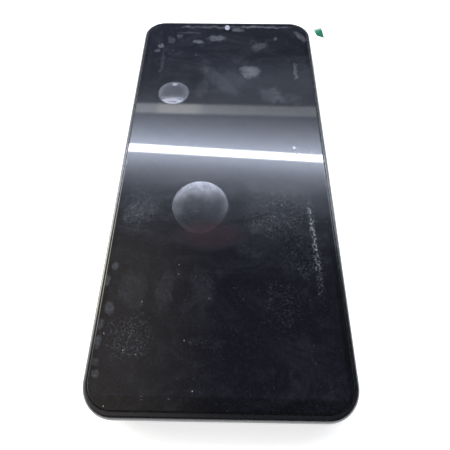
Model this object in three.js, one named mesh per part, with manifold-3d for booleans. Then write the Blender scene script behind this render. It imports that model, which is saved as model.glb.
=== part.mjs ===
// A touchscreen smartphone, in millimetres. +Z points out of the screen, +Y towards the earpiece end and
// +X to the right of someone facing the screen. The origin is the centre of the flat back face.
import * as THREE from "three";
import { mergeVertices } from "three/addons/utils/BufferGeometryUtils.js";
import Module from "manifold-3d";

const wasm = await Module();
wasm.setup();

// ---- Driving dimensions ----

const BODY = { width: 76, length: 164.4, corner: 9.5 };
const HALF = { x: BODY.width / 2, y: BODY.length / 2 };
const GLASS_EDGE = { side: 1.75, top: 1.75, bottom: 2.2 }; // black frame that shows round the glass
const FIT = 0.15; // running gap round a piece that moves or drops into a recess
const FACE_GAP = 0.05; // gap between faces that lie on each other
const GLUE_GAP = 0.03; // gap on each side of an adhesive layer
const OVERCUT = 0.1; // how far one recess runs into the next

// Heights above the flat back face.
const Z = {
  frameBack: 0.25,
  coverInside: 0.9,
  backRecess: 1.15,
  cavityTop: 5.7,
  plateTop: 6.4,
  displayLedge: 8.0,
  glassBack: 8.3,
  frameFront: 8.75,
  glassFront: 9.0,
  boardBack: 4.75,
  boardFront: 5.55,
  ports: 4.0, // centre of the sockets in the bottom wall
  keys: 4.1, // centre of the side keys
  bracketUpper: 1.6,
  bracketLower: 1.5,
};

// How far in from the body's outline each wall of the frame lies.
const INSET = { glassPocket: 1.55, displayPocket: 2.6, cavity: 3.0 };
const EDGE_ROLL = { height: 2.6, inset: 1.4, steps: 5 }; // the rolled front and back edges of the frame
const CAVITY = { x: HALF.x - INSET.cavity, y: HALF.y - INSET.cavity };

const ARC_STEPS = 4; // half the straight steps in a quarter circle
const ROUND_STEPS = 24; // sides of a small cylinder
const SMALL_STEPS = 12; // sides of a pin or a pin hole

// ---- Shapes and solids ----

// A rounded rectangle centred on (x, y).
function roundedShape(width, length, corner, x = 0, y = 0) {
  const right = x + width / 2;
  const top = y + length / 2;
  const left = x - width / 2;
  const bottom = y - length / 2;
  const quarter = Math.PI / 2;
  const shape = new THREE.Shape();
  shape.moveTo(left + corner, bottom);
  shape.lineTo(right - corner, bottom);
  shape.absarc(right - corner, bottom + corner, corner, -quarter, 0, false);
  shape.lineTo(right, top - corner);
  shape.absarc(right - corner, top - corner, corner, 0, quarter, false);
  shape.lineTo(left + corner, top);
  shape.absarc(left + corner, top - corner, corner, quarter, 2 * quarter, false);
  shape.lineTo(left, bottom + corner);
  shape.absarc(left + corner, bottom + corner, corner, 2 * quarter, 3 * quarter, false);
  return shape;
}

// The body's outline moved in by a distance.
function bodyShape(inset) {
  return roundedShape(BODY.width - 2 * inset, BODY.length - 2 * inset, Math.max(BODY.corner - inset, 1));
}

// The glass's outline, grown by a distance.
function glassShape(grow) {
  const width = BODY.width - 2 * (GLASS_EDGE.side - grow);
  const top = HALF.y - GLASS_EDGE.top + grow;
  const bottom = -HALF.y + GLASS_EDGE.bottom - grow;
  return roundedShape(width, top - bottom, BODY.corner - GLASS_EDGE.side + grow, 0, (top + bottom) / 2);
}

function polygonShape(points) {
  return new THREE.Shape(points.map(([x, y]) => new THREE.Vector2(x, y)));
}

// A flat shape extruded between two heights, with its rims rolled over where roll is given.
function slab(shape, low, high, roll = null) {
  const roundOver = roll ?? { height: 0, inset: 0, steps: 1 };
  return new THREE.ExtrudeGeometry(shape, {
    depth: high - low - 2 * roundOver.height,
    bevelEnabled: Boolean(roll),
    bevelThickness: roundOver.height,
    bevelSize: roundOver.inset,
    bevelOffset: -roundOver.inset,
    bevelSegments: roundOver.steps,
    curveSegments: ARC_STEPS,
  }).translate(0, 0, low + roundOver.height);
}

function block([x0, x1], [y0, y1], [z0, z1]) {
  const box = new THREE.BoxGeometry(x1 - x0, y1 - y0, z1 - z0);
  return box.translate((x0 + x1) / 2, (y0 + y1) / 2, (z0 + z1) / 2);
}

// Cylinders along each axis, between two places on that axis.
function postZ(radius, x, y, low, high, steps = ROUND_STEPS) {
  return new THREE.CylinderGeometry(radius, radius, high - low, steps)
    .rotateX(Math.PI / 2)
    .translate(x, y, (low + high) / 2);
}

function postY(radius, x, z, from, to, steps = ROUND_STEPS) {
  return new THREE.CylinderGeometry(radius, radius, to - from, steps).translate(x, (from + to) / 2, z);
}

function postX(radius, y, z, from, to, steps = ROUND_STEPS) {
  return new THREE.CylinderGeometry(radius, radius, to - from, steps)
    .rotateZ(Math.PI / 2)
    .translate((from + to) / 2, y, z);
}

// A rounded bar that runs through a side wall along X, or through an end wall along Y.
function barX(length, height, corner, y, z, from, to) {
  return slab(roundedShape(length, height, corner), from, to)
    .rotateY(Math.PI / 2)
    .rotateX(Math.PI / 2)
    .translate(0, y, z);
}

function barY(width, height, corner, x, z, from, to) {
  return slab(roundedShape(width, height, corner), -to, -from)
    .rotateX(Math.PI / 2)
    .translate(x, 0, z);
}

// A thin strip bent along a route of [y, z] points, as wide as its X span.
function ribbon(route, thickness, [x0, x1]) {
  const centre = route.map(([y, z]) => new THREE.Vector2(y, z));
  const sideways = centre.map((_, i) => {
    const before = centre[Math.max(i - 1, 0)];
    const after = centre[Math.min(i + 1, centre.length - 1)];
    const along = after.clone().sub(before).normalize();
    return new THREE.Vector2(-along.y, along.x).multiplyScalar(thickness / 2);
  });
  const upper = centre.map((point, i) => point.clone().add(sideways[i]));
  const lower = centre.map((point, i) => point.clone().sub(sideways[i]));
  const outline = new THREE.Shape([...upper, ...lower.reverse()]);
  return new THREE.ExtrudeGeometry(outline, { depth: x1 - x0, bevelEnabled: false })
    .rotateY(Math.PI / 2)
    .rotateX(Math.PI / 2)
    .translate(x0, 0, 0);
}

function toSolid(geometry) {
  const bare = new THREE.BufferGeometry();
  bare.setAttribute("position", geometry.getAttribute("position").clone());
  if (geometry.index) bare.setIndex(geometry.index.clone());
  const merged = mergeVertices(bare, 1e-4);
  return new wasm.Manifold(
    new wasm.Mesh({
      numProp: 3,
      vertProperties: merged.attributes.position.array,
      triVerts: new Uint32Array(merged.index.array),
    }),
  );
}

function toGeometry(solid) {
  const mesh = solid.getMesh();
  const geometry = new THREE.BufferGeometry();
  geometry.setAttribute("position", new THREE.BufferAttribute(mesh.vertProperties, 3));
  geometry.setIndex(new THREE.BufferAttribute(mesh.triVerts, 1));
  const flat = geometry.toNonIndexed();
  flat.computeVertexNormals();
  return flat;
}

function cut(base, ...tools) {
  return toGeometry(tools.reduce((left, tool) => left.subtract(toSolid(tool)), toSolid(base)));
}

function join(first, ...others) {
  return toGeometry(others.reduce((sum, other) => sum.add(toSolid(other)), toSolid(first)));
}

// ---- Finishes ----

const finish = (color, roughness, metalness) => () =>
  new THREE.MeshStandardMaterial({ color, roughness, metalness });

const FINISH = {
  clearFilm: finish(0xdfe6ea, 0.12, 0),
  greenPrint: finish(0x1f9a63, 0.5, 0),
  blackGlass: finish(0x101218, 0.05, 0),
  darkPanel: finish(0x15161b, 0.35, 0),
  whitePanel: finish(0xd8dade, 0.5, 0),
  blackFrame: finish(0x17181b, 0.3, 0),
  blackCover: finish(0x1b1c20, 0.38, 0),
  blackFoam: finish(0x141414, 0.95, 0),
  steel: finish(0xb4b6ba, 0.3, 1),
  darkSteel: finish(0x55585d, 0.4, 1),
  boardGreen: finish(0x14563a, 0.5, 0),
  chipBlack: finish(0x1c1d1f, 0.6, 0),
  flexAmber: finish(0xb5721f, 0.45, 0),
  batteryGrey: finish(0x2c2e33, 0.45, 0),
  lensBlack: finish(0x0a0b0e, 0.08, 0),
  ledYellow: finish(0xf2dd8a, 0.3, 0),
  blackPlastic: finish(0x202124, 0.55, 0),
  brass: finish(0xc7a253, 0.35, 1),
  rubber: finish(0x232323, 0.9, 0),
};

function node(name, geometry, makeFinish, position = [0, 0, 0]) {
  const mesh = new THREE.Mesh(geometry, makeFinish());
  mesh.name = name;
  mesh.position.set(...position);
  return mesh;
}

// ---- Places shared by pieces that meet ----

const SOCKET = { usbX: 0, jackX: -20, micX: -8 };
const USB = { width: 8.94, height: 3.26, mouth: -82.0, back: -74.6, wall: 0.3, backWall: 0.6, slotCorner: 1.6 };
const TONGUE = { halfWidth: 3.35, halfThickness: 0.35, recess: 0.8 };
const JACK = {
  body: 6,
  height: 4.6,
  depth: 11.6,
  nose: 2.5,
  bore: 1.75,
  noseStart: 0.5,
  backWall: 1,
  clearance: 0.3,
};
const MIC_HOLE = 0.45;
const MICROPHONE = { halfWidth: 1.6, y: [-78.5, -76.2], low: 3.6 };
const SPEAKER_HOLES = { first: 13, pitch: 2.2, count: 6, radius: 0.65 };
const FRONT_CAMERA = { x: 0, y: 77.4, barrel: 1.8, top: 8.15, seat: 1.2, seatFloor: 7.7, hole: 2.1 };
const FRONT_CAMERA_BASE = { halfWidth: 2.7, low: 73.9, z: [3.4, 5.6] };
const EARPIECE_SLIT = { halfWidth: 4.7, inner: 80.4, outer: 80.95 };
const EARPIECE_MESH = { halfWidth: 4.5, y: [80.52, 80.89], z: [8.3, 8.55] };
const RECEIVER = { x: [4.4, 13.2], y: [73.4, 78.6], z: [3.2, 5.6] };
const SOUND_PATH = { width: 9, length: 4, corner: 1.5, x: 9, y: 75.8 };
const DISPLAY_FLEX_SLOT = { x: [-8, 8], y: [-70.8, -68.4] };
const LCD = { width: 69.2, bottom: -76.4, top: 78.7, corner: 6, back: 7.35 };
const BACKLIGHT = { shrink: 0.2, z: [6.75, 7.3] };
const DISPLAY_GLUE = { outer: 0.25, inner: 1.15, gap: 0.02 };
const GRAPHITE = { x: [-30, 30], y: [-60, 70], z: [6.42, 6.5] };
const LCD_NOTCH = { radius: 3.9, y: 78 };
const CAMERA_ISLAND = { x: 22, y: 59.2, width: 21, length: 35, corner: 5, rise: 1.1 };
const REAR_LENSES = {
  main: { x: 26, y: 69.5, barrel: 3.2, opening: 3.7 },
  wide: { x: 26, y: 58, barrel: 2.4, opening: 2.9 },
  macro: { x: 26, y: 48.5, barrel: 1.7, opening: 2.2 },
  flash: { x: 16.5, y: 69.5, barrel: 1.3, opening: 1.6 },
};
const KEYS = {
  power: { y: 14, length: 11.5 },
  volume: { y: 39, length: 22 },
  height: 1.9,
  corner: 0.5,
  slotCorner: 0.6,
  proud: 0.5, // how far a key stands out of the side wall
  flange: 0.3, // rim that keeps a key in its slot
  flangeThickness: 0.5,
  travelGap: 0.3, // lets the far end of the volume key rise as the near end is pressed
  domeSpread: 7.5, // distance of the volume key's two domes from its middle
};
const KEY_FLEX = { x: [35.65, 35.8], z: [3.1, 5.1], endGap: 1.5, domeRadius: 0.9, domeTop: 36.05 };
const KEY_BRACKET = { x: [35.05, 35.6], z: [2.9, 5.4], endGap: 0.5 };
const KEY_WALL = { skin: 37.2, pocketInside: 34.9, pocketLow: 2.7, pocketHigh: 5.5 };
const KEY_BAY = [4.5, 53.5]; // Y span of the pocket behind both keys
const TRAY = { y: 65, width: 14.9, low: 3.4, high: 4.3, tail: -10.2 };
const TRAY_FACE = { y: 64.05, length: 18, low: 3.05, high: 5.15, inside: -36.9 };
const TRAY_SLOT = {
  faceFloor: -36.7,
  sealFloor: -36,
  sealWidth: 15.9,
  sealHeight: 1.6,
  sealCorner: 0.4,
  bladeHeight: 1.1,
};
const SEAL = { width: 15.6, height: 1.3, from: -36.8, to: -36.2, corner: 0.3, grip: 0.05 };
const CARD_SEATS = { starts: [-33.6, -23.6], lengths: [8.9, 11.2], halfWidth: 6.2, rim: 1, floor: 0.25 };
const EJECT = {
  y: 56.1,
  z: 3.85,
  rod: 0.45,
  gap: 0.1,
  channel: 0.6,
  pinHole: 0.4,
  rodStart: -35.9,
  rodEnd: -7.9,
};
const LEVER = { x: -7.2, y: 60.6, halfLength: 5, halfWidth: 0.5, boss: 1, pivot: 0.4, low: 3.5, high: 4.2 };
const READER = { x: [-34.5, -3.8], y: [55, 73.1], z: [2.95, 4.7], floor: 0.35, roof: 0.3, bay: [-2.9, 3.1] };
const PROCESSOR = { x: [-20, -8], y: [41, 52.5], z: [3.5, Z.boardBack - FACE_GAP] };
const SHIELD = { low: 2.95, wall: 0.2 };
const SHIELD_SPANS = { processor: { x: [-28, 8], y: [39.7, 53.8] }, radio: { x: [-3.5, 8.4], y: [57, 70] } };
const UPPER_BRACKET = { thickness: 1, window: { width: 12, length: 8, corner: 1, x: -12, y: 64 } };
const LOWER_BRACKET = { thickness: 0.7, margin: 0.3 };
const SUB_BOARD_EDGE = { right: 7.4, top: -60.4 };
const SPEAKER_BOX = { x: [8.2, 34], y: [-78.8, -55.5], z: [1.5, 5.6] };
const SPEAKER_DUCT = { x: [12, 25.2], depth: 3, halfHeight: 0.8 };
const SPEAKER_MESH = { x: [11.8, 25.4], y: [-79.1, -78.88], z: [3.1, 4.9] };
const BATTERY = { x: [-31, 31], y: [-50, 30], z: [1.35, 5.45], corner: 1.5 };
const BATTERY_GLUE = { x: [-24, 24], y: [-42, 22], z: [BATTERY.z[1] + GLUE_GAP, 5.66] };
const MOTOR = {
  y: -55.3,
  z: 3.4,
  can: 2.1,
  canX: [-30, -22],
  weight: 1.9,
  weightX: [-21.6, -18.4],
  shaft: 0.4,
};
const SCREW = {
  head: 1.4,
  headHeight: 0.5,
  shank: 0.7,
  length: 4.6,
  clearance: 0.9,
  thread: 0.75,
  socket: 0.6,
};
const SCREWS = {
  upper: [
    [-30.6, 75.4],
    [-5.8, 75.9],
    [10.9, 63.5],
    [10.9, 47],
    [-31.3, 42],
  ],
  lower: [
    [-31, -63.4],
    [5.3, -62.6],
  ],
  speaker: [
    [31.2, -58.3],
    [11, -58.3],
  ],
};
const ALL_SCREWS = Object.values(SCREWS).flat();
const COLUMN_RADIUS = 1.7; // bracket pillars that the screws pass through

// Cylinders at each screw, for holes.
const screwHoles = (radius, low, high, places) =>
  places.map(([x, y]) => postZ(radius, x, y, low, high, SMALL_STEPS));

// ---- Frame and covers ----

function sideFrame() {
  const ring = slab(bodyShape(0), Z.frameBack, Z.frameFront, EDGE_ROLL);
  const past = 1; // how far a cutting tool runs past the faces it opens
  const outside = HALF.y + past;
  const glassGap = GLASS_EDGE.side - INSET.glassPocket;
  const glassPocket = slab(glassShape(glassGap), Z.displayLedge, Z.frameFront + past);
  const displayPocket = slab(bodyShape(INSET.displayPocket), Z.cavityTop, Z.displayLedge + past / 4);
  const cavity = slab(bodyShape(INSET.cavity), Z.backRecess - past / 4, Z.cavityTop + past / 4);
  const backRecess = slab(bodyShape(INSET.glassPocket), Z.frameBack - past, Z.backRecess);
  const earpieceSlit = block(
    [-EARPIECE_SLIT.halfWidth, EARPIECE_SLIT.halfWidth],
    [EARPIECE_SLIT.inner, EARPIECE_SLIT.outer],
    [Z.displayLedge - OVERCUT, Z.frameFront + past],
  );

  const keySlots = [KEYS.power, KEYS.volume].map((key) =>
    barX(
      key.length + 2 * FIT,
      KEYS.height + 2 * FIT,
      KEYS.slotCorner,
      key.y,
      Z.keys,
      KEY_WALL.skin - past,
      HALF.x + past,
    ),
  );
  const { pocketInside, skin, pocketLow, pocketHigh } = KEY_WALL;
  const keyPocket = block([pocketInside, skin], KEY_BAY, [pocketLow, pocketHigh]);

  const trayFaceHeight = TRAY_FACE.high - TRAY_FACE.low;
  const trayMid = (TRAY.low + TRAY.high) / 2;
  const traySlots = [
    barX(
      TRAY_FACE.length + 2 * FIT,
      trayFaceHeight + 2 * FIT,
      trayFaceHeight / 2,
      TRAY_FACE.y,
      (TRAY_FACE.low + TRAY_FACE.high) / 2,
      -HALF.x - past,
      TRAY_SLOT.faceFloor,
    ),
    barX(
      TRAY_SLOT.sealWidth,
      TRAY_SLOT.sealHeight,
      TRAY_SLOT.sealCorner,
      TRAY.y,
      trayMid,
      -HALF.x,
      TRAY_SLOT.sealFloor,
    ),
    barX(TRAY.width + 2 * FIT, TRAY_SLOT.bladeHeight, SEAL.corner, TRAY.y, trayMid, -HALF.x, -CAVITY.x + past),
    postX(EJECT.rod + EJECT.gap, EJECT.y, EJECT.z, -HALF.x, -CAVITY.x + past, SMALL_STEPS),
  ];

  const inside = -CAVITY.y + past;
  const usbSlot = { width: USB.width + 2 * FIT, height: USB.height + 2 * FIT };
  const sockets = [
    barY(usbSlot.width, usbSlot.height, USB.slotCorner, SOCKET.usbX, Z.ports, -outside, inside),
    postY(JACK.nose + FIT, SOCKET.jackX, Z.ports, -outside, inside),
    postY(MIC_HOLE, SOCKET.micX, Z.ports, -outside, inside, SMALL_STEPS),
    postY(MIC_HOLE, -SOCKET.micX, Z.ports, CAVITY.y - past, outside, SMALL_STEPS),
  ];
  for (let i = 0; i < SPEAKER_HOLES.count; i += 1) {
    const x = SPEAKER_HOLES.first + i * SPEAKER_HOLES.pitch;
    sockets.push(postY(SPEAKER_HOLES.radius, x, Z.ports, -outside, inside, SMALL_STEPS));
  }
  return cut(
    ring,
    glassPocket,
    displayPocket,
    cavity,
    backRecess,
    earpieceSlit,
    ...keySlots,
    keyPocket,
    ...traySlots,
    ...sockets,
  );
}

function midPlate() {
  const plate = slab(bodyShape(INSET.displayPocket + FACE_GAP), Z.cavityTop, Z.plateTop);
  const through = [Z.cavityTop - 1, Z.plateTop + 1];
  const { x, y, hole } = FRONT_CAMERA;
  const { width, length, corner } = SOUND_PATH;
  return cut(
    plate,
    postZ(hole, x, y, ...through),
    block([-hole, hole], [y, HALF.y], through),
    jackNotch(JACK.clearance, through),
    block(DISPLAY_FLEX_SLOT.x, DISPLAY_FLEX_SLOT.y, through),
    slab(roundedShape(width, length, corner, SOUND_PATH.x, SOUND_PATH.y), ...through),
    ...screwHoles(SCREW.thread, Z.cavityTop - 1, Z.plateTop - OVERCUT, ALL_SCREWS),
  );
}

// The notch that a plate or board leaves for the headphone socket.
function jackNotch(gap, through) {
  const half = JACK.body / 2 + gap;
  const inner = -CAVITY.y + OVERCUT + JACK.depth + gap;
  return block([SOCKET.jackX - half, SOCKET.jackX + half], [-HALF.y, inner], through);
}

function backCover() {
  const { x, y, width, length, corner } = CAMERA_ISLAND;
  const opening = 0.9; // the hole is this much smaller than the island on each side
  const hole = roundedShape(width - 2 * opening, length - 2 * opening, corner - opening, x, y);
  return cut(
    slab(bodyShape(INSET.glassPocket + FIT), 0, Z.coverInside, { height: 0.35, inset: 0.45, steps: 3 }),
    slab(hole, -1, Z.coverInside + 1),
  );
}

function backAdhesive() {
  const low = Z.coverInside + GLUE_GAP;
  const high = Z.backRecess - GLUE_GAP;
  const outer = INSET.glassPocket + 0.25;
  const inner = INSET.cavity - 0.1;
  return cut(
    slab(bodyShape(outer), low, high),
    slab(bodyShape(inner), low - 1, high + 1),
  );
}

// ---- Rear camera island ----

function cameraSurround() {
  const { x, y, width, length, corner, rise } = CAMERA_ISLAND;
  const neckInset = 1.1;
  const neck = { low: -0.4, high: Z.coverInside + 0.2 };
  const windowInset = 1;
  const windowDepth = 0.55;
  const rim = slab(roundedShape(width, length, corner, x, y), -rise, 0, { height: 0.3, inset: 0.3, steps: 2 });
  const neckSlab = slab(
    roundedShape(width - 2 * neckInset, length - 2 * neckInset, corner - neckInset, x, y),
    neck.low,
    neck.high,
  );
  const windowSeat = slab(
    roundedShape(width - 2 * windowInset, length - 2 * windowInset, corner - windowInset, x, y),
    -rise - 1,
    -rise + windowDepth,
  );
  const openings = Object.values(REAR_LENSES).map((lens) => postZ(lens.opening, lens.x, lens.y, -rise, 2));
  return cut(join(rim, neckSlab), windowSeat, ...openings);
}

function cameraWindow() {
  const { x, y, width, length, corner, rise } = CAMERA_ISLAND;
  const inset = 1.15;
  const sunk = 0.1;
  const thickness = 0.4;
  return slab(
    roundedShape(width - 2 * inset, length - 2 * inset, corner - inset, x, y),
    -rise + sunk,
    -rise + sunk + thickness,
    { height: 0.08, inset: 0.08, steps: 1 },
  );
}

// ---- Display stack ----

const NOTCH_ABOVE = HALF.y + 1;

function notchTools(radius, low, high) {
  return [
    postZ(radius, 0, LCD_NOTCH.y, low - 1, high + 1),
    block([-radius, radius], [LCD_NOTCH.y, NOTCH_ABOVE], [low - 1, high + 1]),
  ];
}

function panel(shrink, low, high) {
  const bottom = LCD.bottom + shrink;
  const top = LCD.top - shrink;
  const outline = roundedShape(LCD.width - 2 * shrink, top - bottom, LCD.corner, 0, (top + bottom) / 2);
  return cut(slab(outline, low, high), ...notchTools(LCD_NOTCH.radius + shrink, low, high));
}

function displayAdhesive() {
  const low = Z.displayLedge + DISPLAY_GLUE.gap;
  const high = Z.glassBack - DISPLAY_GLUE.gap;
  return cut(
    slab(glassShape(-DISPLAY_GLUE.outer), low, high),
    slab(glassShape(-DISPLAY_GLUE.inner), low - 1, high + 1),
  );
}

// The clear film that covers the glass, with two air bubbles under it and a pull tab past its top right corner.
const FILM = { low: Z.glassFront + 0.02, thickness: 0.15, inset: 0.45 };
const BUBBLES = [
  { x: -21.4, y: 35.4, radius: 6.3, height: 0.55 },
  { x: -8.1, y: -18.4, radius: 9.8, height: 0.75 },
];
const PULL_TAB = { x: [33, 45.8], y: [69.6, 81.2], corner: 3.2 };
const PRINT = { x: 41.6, y: 74.7, low: FILM.low + FILM.thickness + 0.02, thickness: 0.06 };

// A shallow dome on a round foot: a spherical cap closed by its base disc.
function dome(radius, height, base, x, y) {
  const sphere = (radius * radius + height * height) / (2 * height);
  const spread = Math.asin(radius / sphere);
  const steps = 4;
  const profile = [new THREE.Vector2(0, 0), new THREE.Vector2(radius, 0)];
  for (let i = 1; i < steps; i += 1) {
    const angle = spread * (1 - i / steps);
    profile.push(new THREE.Vector2(sphere * Math.sin(angle), sphere * Math.cos(angle) - sphere + height));
  }
  profile.push(new THREE.Vector2(0, height));
  return new THREE.LatheGeometry(profile, 24).rotateX(Math.PI / 2).translate(x, y, base);
}

function protectiveFilm() {
  const { low, thickness, inset } = FILM;
  const { x, y, corner } = PULL_TAB;
  const sheet = slab(glassShape(-inset), low, low + thickness);
  const tab = slab(
    roundedShape(x[1] - x[0], y[1] - y[0], corner, (x[0] + x[1]) / 2, (y[0] + y[1]) / 2),
    low,
    low + thickness,
  );
  const foot = 0.4; // width of the ring that joins a bubble's skin to the sheet
  const skins = BUBBLES.map((bubble) => dome(bubble.radius, bubble.height, low, bubble.x, bubble.y));
  const hollows = BUBBLES.map((bubble) =>
    dome(bubble.radius - foot, bubble.height - thickness, low - 0.001, bubble.x, bubble.y),
  );
  return cut(join(sheet, tab, ...skins), ...hollows);
}

// A printed arrowhead on the pull tab, pointing outwards and down.
function pullTabPrint() {
  const arrowhead = polygonShape([
    [2.2, -4.4],
    [1.9, 0.2],
    [1.3, 4.6],
    [-0.3, 2.6],
    [-2.2, 4],
    [-1.9, 0.9],
    [-1.1, -2.6],
  ]);
  return slab(arrowhead, 0, PRINT.thickness);
}

// ---- Front pieces under the glass ----

function earpieceMesh() {
  const { halfWidth, y, z } = EARPIECE_MESH;
  return block([-halfWidth, halfWidth], y, z);
}

function frontCamera() {
  const { x, y, barrel, top, seat, seatFloor } = FRONT_CAMERA;
  const { halfWidth, low, z } = FRONT_CAMERA_BASE;
  const base = block([-halfWidth, halfWidth], [low, CAVITY.y - OVERCUT], z);
  return cut(join(base, postZ(barrel, x, y, z[1] - OVERCUT, top)), postZ(seat, x, y, seatFloor, top + 1));
}

// ---- Boards and what sits on them ----

function mainBoard() {
  const outline = polygonShape([
    [-33.6, 32.5],
    [33.6, 32.5],
    [33.6, 44.5],
    [13.5, 44.5],
    [13.5, 73.1],
    [-3.4, 73.1],
    [-3.4, 78.4],
    [-28.5, 78.4],
    [-32, 76.6],
    [-33.6, 73],
  ]);
  return cut(
    slab(outline, Z.boardBack, Z.boardFront),
    ...screwHoles(SCREW.clearance, Z.boardBack - 1, Z.boardFront + 1, SCREWS.upper),
  );
}

function subBoard() {
  const { right, top } = SUB_BOARD_EDGE;
  const usbGap = 0.4;
  const outline = polygonShape([
    [-33.6, top],
    [-33.6, -73],
    [-32, -76.6],
    [-28.5, -78.4],
    [right, -78.4],
    [right, top],
  ]);
  const through = [Z.boardBack - 1, Z.boardFront + 1];
  return cut(
    slab(outline, Z.boardBack, Z.boardFront),
    jackNotch(JACK.clearance, through),
    block([-USB.width / 2 - usbGap, USB.width / 2 + usbGap], [-HALF.y, USB.back + usbGap], through),
    ...screwHoles(SCREW.clearance, ...through, SCREWS.lower),
  );
}

// A pressed shield can, open towards the board.
function shieldCan({ x, y }) {
  const { low, wall } = SHIELD;
  const high = Z.boardBack - FACE_GAP;
  return cut(
    block(x, y, [low, high]),
    block([x[0] + wall, x[1] - wall], [y[0] + wall, y[1] - wall], [low + wall, high + 1]),
  );
}

function upperBracket() {
  const { thickness, window } = UPPER_BRACKET;
  const low = Z.bracketUpper;
  const high = low + thickness;
  const outline = polygonShape([
    [-33.3, 39],
    [13, 39],
    [13, 64.2],
    [20, 64.2],
    [20, 74.8],
    [13, 74.8],
    [13, 77.6],
    [-28.5, 77.6],
    [-31.8, 76],
    [-33.3, 72.6],
  ]);
  const columns = screwHoles(COLUMN_RADIUS, low, Z.boardBack - FACE_GAP, SCREWS.upper);
  const springWindow = roundedShape(window.width, window.length, window.corner, window.x, window.y);
  return cut(
    join(slab(outline, low, high), ...columns),
    ...screwHoles(SCREW.clearance, low - 1, Z.boardBack + 1, SCREWS.upper),
    slab(springWindow, low - 1, high + 1),
  );
}

function lowerBracket() {
  const { thickness, margin } = LOWER_BRACKET;
  const low = Z.bracketLower;
  const high = low + thickness;
  const right = SUB_BOARD_EDGE.right - margin;
  const top = SUB_BOARD_EDGE.top - margin;
  const outline = polygonShape([
    [-33.3, top],
    [-33.3, -72.8],
    [-31.8, -76.3],
    [-28.5, -78],
    [right, -78],
    [right, top],
  ]);
  const columns = screwHoles(COLUMN_RADIUS, low, Z.boardBack - FACE_GAP, SCREWS.lower);
  return cut(
    join(slab(outline, low, high), ...columns),
    jackNotch(JACK.clearance + OVERCUT, [low - 1, high + 1]),
    ...screwHoles(SCREW.clearance, low - 1, Z.boardBack + 1, SCREWS.lower),
  );
}

// ---- Sockets and sound ----

function usbShell() {
  const { width, height, mouth, back, wall, backWall } = USB;
  const corner = height / 2 - 0.05;
  return cut(
    barY(width, height, corner, SOCKET.usbX, Z.ports, mouth, back),
    barY(width - 2 * wall, height - 2 * wall, corner - wall, SOCKET.usbX, Z.ports, mouth - 1, back - backWall),
  );
}

function usbTongue() {
  const { halfWidth, halfThickness, recess } = TONGUE;
  return block(
    [-halfWidth, halfWidth],
    [USB.mouth + recess, USB.back - USB.backWall - FACE_GAP],
    [Z.ports - halfThickness, Z.ports + halfThickness],
  );
}

function headphoneJack() {
  const { body, height, depth, nose, bore, noseStart, backWall } = JACK;
  const front = -CAVITY.y + OVERCUT;
  const shell = block(
    [SOCKET.jackX - body / 2, SOCKET.jackX + body / 2],
    [front, front + depth],
    [Z.ports - height / 2, Z.ports + height / 2],
  );
  return cut(
    join(shell, postY(nose, SOCKET.jackX, Z.ports, -HALF.y + noseStart, front + noseStart)),
    postY(bore, SOCKET.jackX, Z.ports, -HALF.y - 1, front + depth - backWall),
  );
}

function loudspeakerBox() {
  const [left, right] = SPEAKER_BOX.x;
  const [bottom, top] = SPEAKER_BOX.y;
  const [low, high] = SPEAKER_BOX.z;
  const outline = polygonShape([
    [left, bottom],
    [28.5, bottom],
    [32.2, -76.8],
    [right, -73],
    [right, top],
    [left, top],
  ]);
  const { x, depth, halfHeight } = SPEAKER_DUCT;
  const duct = block(x, [bottom - 1, bottom + depth], [Z.ports - halfHeight, Z.ports + halfHeight]);
  return cut(slab(outline, low, high), duct, ...screwHoles(SCREW.clearance, low - 1, high + 1, SCREWS.speaker));
}

// ---- Cameras ----

const FLASH = { half: 1.3, z: [1.17, 1.57] };
const CAMERA_TOP = 5.6; // all rear cameras reach this height
const MAIN_CAMERA = {
  half: 4.8,
  low: 1.7,
  barrel: [1.5, 4.5],
  barrelGap: 0.2,
  wellTop: 4.9,
  seatWall: 0.9,
  seatTop: 2,
};
const FIXED_CAMERA = { front: 1.3, seatWall: 0.7, seatTop: 1.7 };

function mainCameraHousing() {
  const { x, y, barrel } = REAR_LENSES.main;
  const { half, low, barrelGap, wellTop } = MAIN_CAMERA;
  return cut(
    block([x - half, x + half], [y - half, y + half], [low, CAMERA_TOP]),
    postZ(barrel + barrelGap, x, y, 0, wellTop),
  );
}

function mainCameraBarrel() {
  const { barrel } = REAR_LENSES.main;
  const seat = postZ(barrel - MAIN_CAMERA.seatWall, 0, 0, 0, MAIN_CAMERA.seatTop);
  return cut(postZ(barrel, 0, 0, ...MAIN_CAMERA.barrel), seat);
}

function fixedCamera({ x, y, barrel }, half, low) {
  const { front, seatWall, seatTop } = FIXED_CAMERA;
  const base = block([x - half, x + half], [y - half, y + half], [low, CAMERA_TOP]);
  const tube = postZ(barrel, x, y, front, low + front / 2);
  return cut(join(base, tube), postZ(barrel - seatWall, x, y, 0, seatTop));
}

// ---- Card tray and its ejector ----

function simTray() {
  const { y, width, low, high, tail } = TRAY;
  const face = barX(
    TRAY_FACE.length,
    TRAY_FACE.high - TRAY_FACE.low,
    (TRAY_FACE.high - TRAY_FACE.low) / 2 - 0.05,
    TRAY_FACE.y,
    (TRAY_FACE.low + TRAY_FACE.high) / 2,
    -HALF.x,
    TRAY_FACE.inside,
  );
  const body = block([TRAY_FACE.inside - 0.3, tail], [y - width / 2, y + width / 2], [low, high]);
  const { starts, lengths, halfWidth, rim, floor } = CARD_SEATS;
  const seats = starts.flatMap((start, i) => [
    block([start, start + lengths[i]], [y - halfWidth, y + halfWidth], [low - 1, high - floor]),
    block(
      [start + rim, start + lengths[i] - rim],
      [y - halfWidth + rim, y + halfWidth - rim],
      [low - 1, high + 1],
    ),
  ]);
  const pinHole = postX(EJECT.pinHole, EJECT.y, EJECT.z, -HALF.x - 1, TRAY_FACE.inside + 1, SMALL_STEPS);
  return cut(join(face, body), ...seats, pinHole);
}

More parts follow.
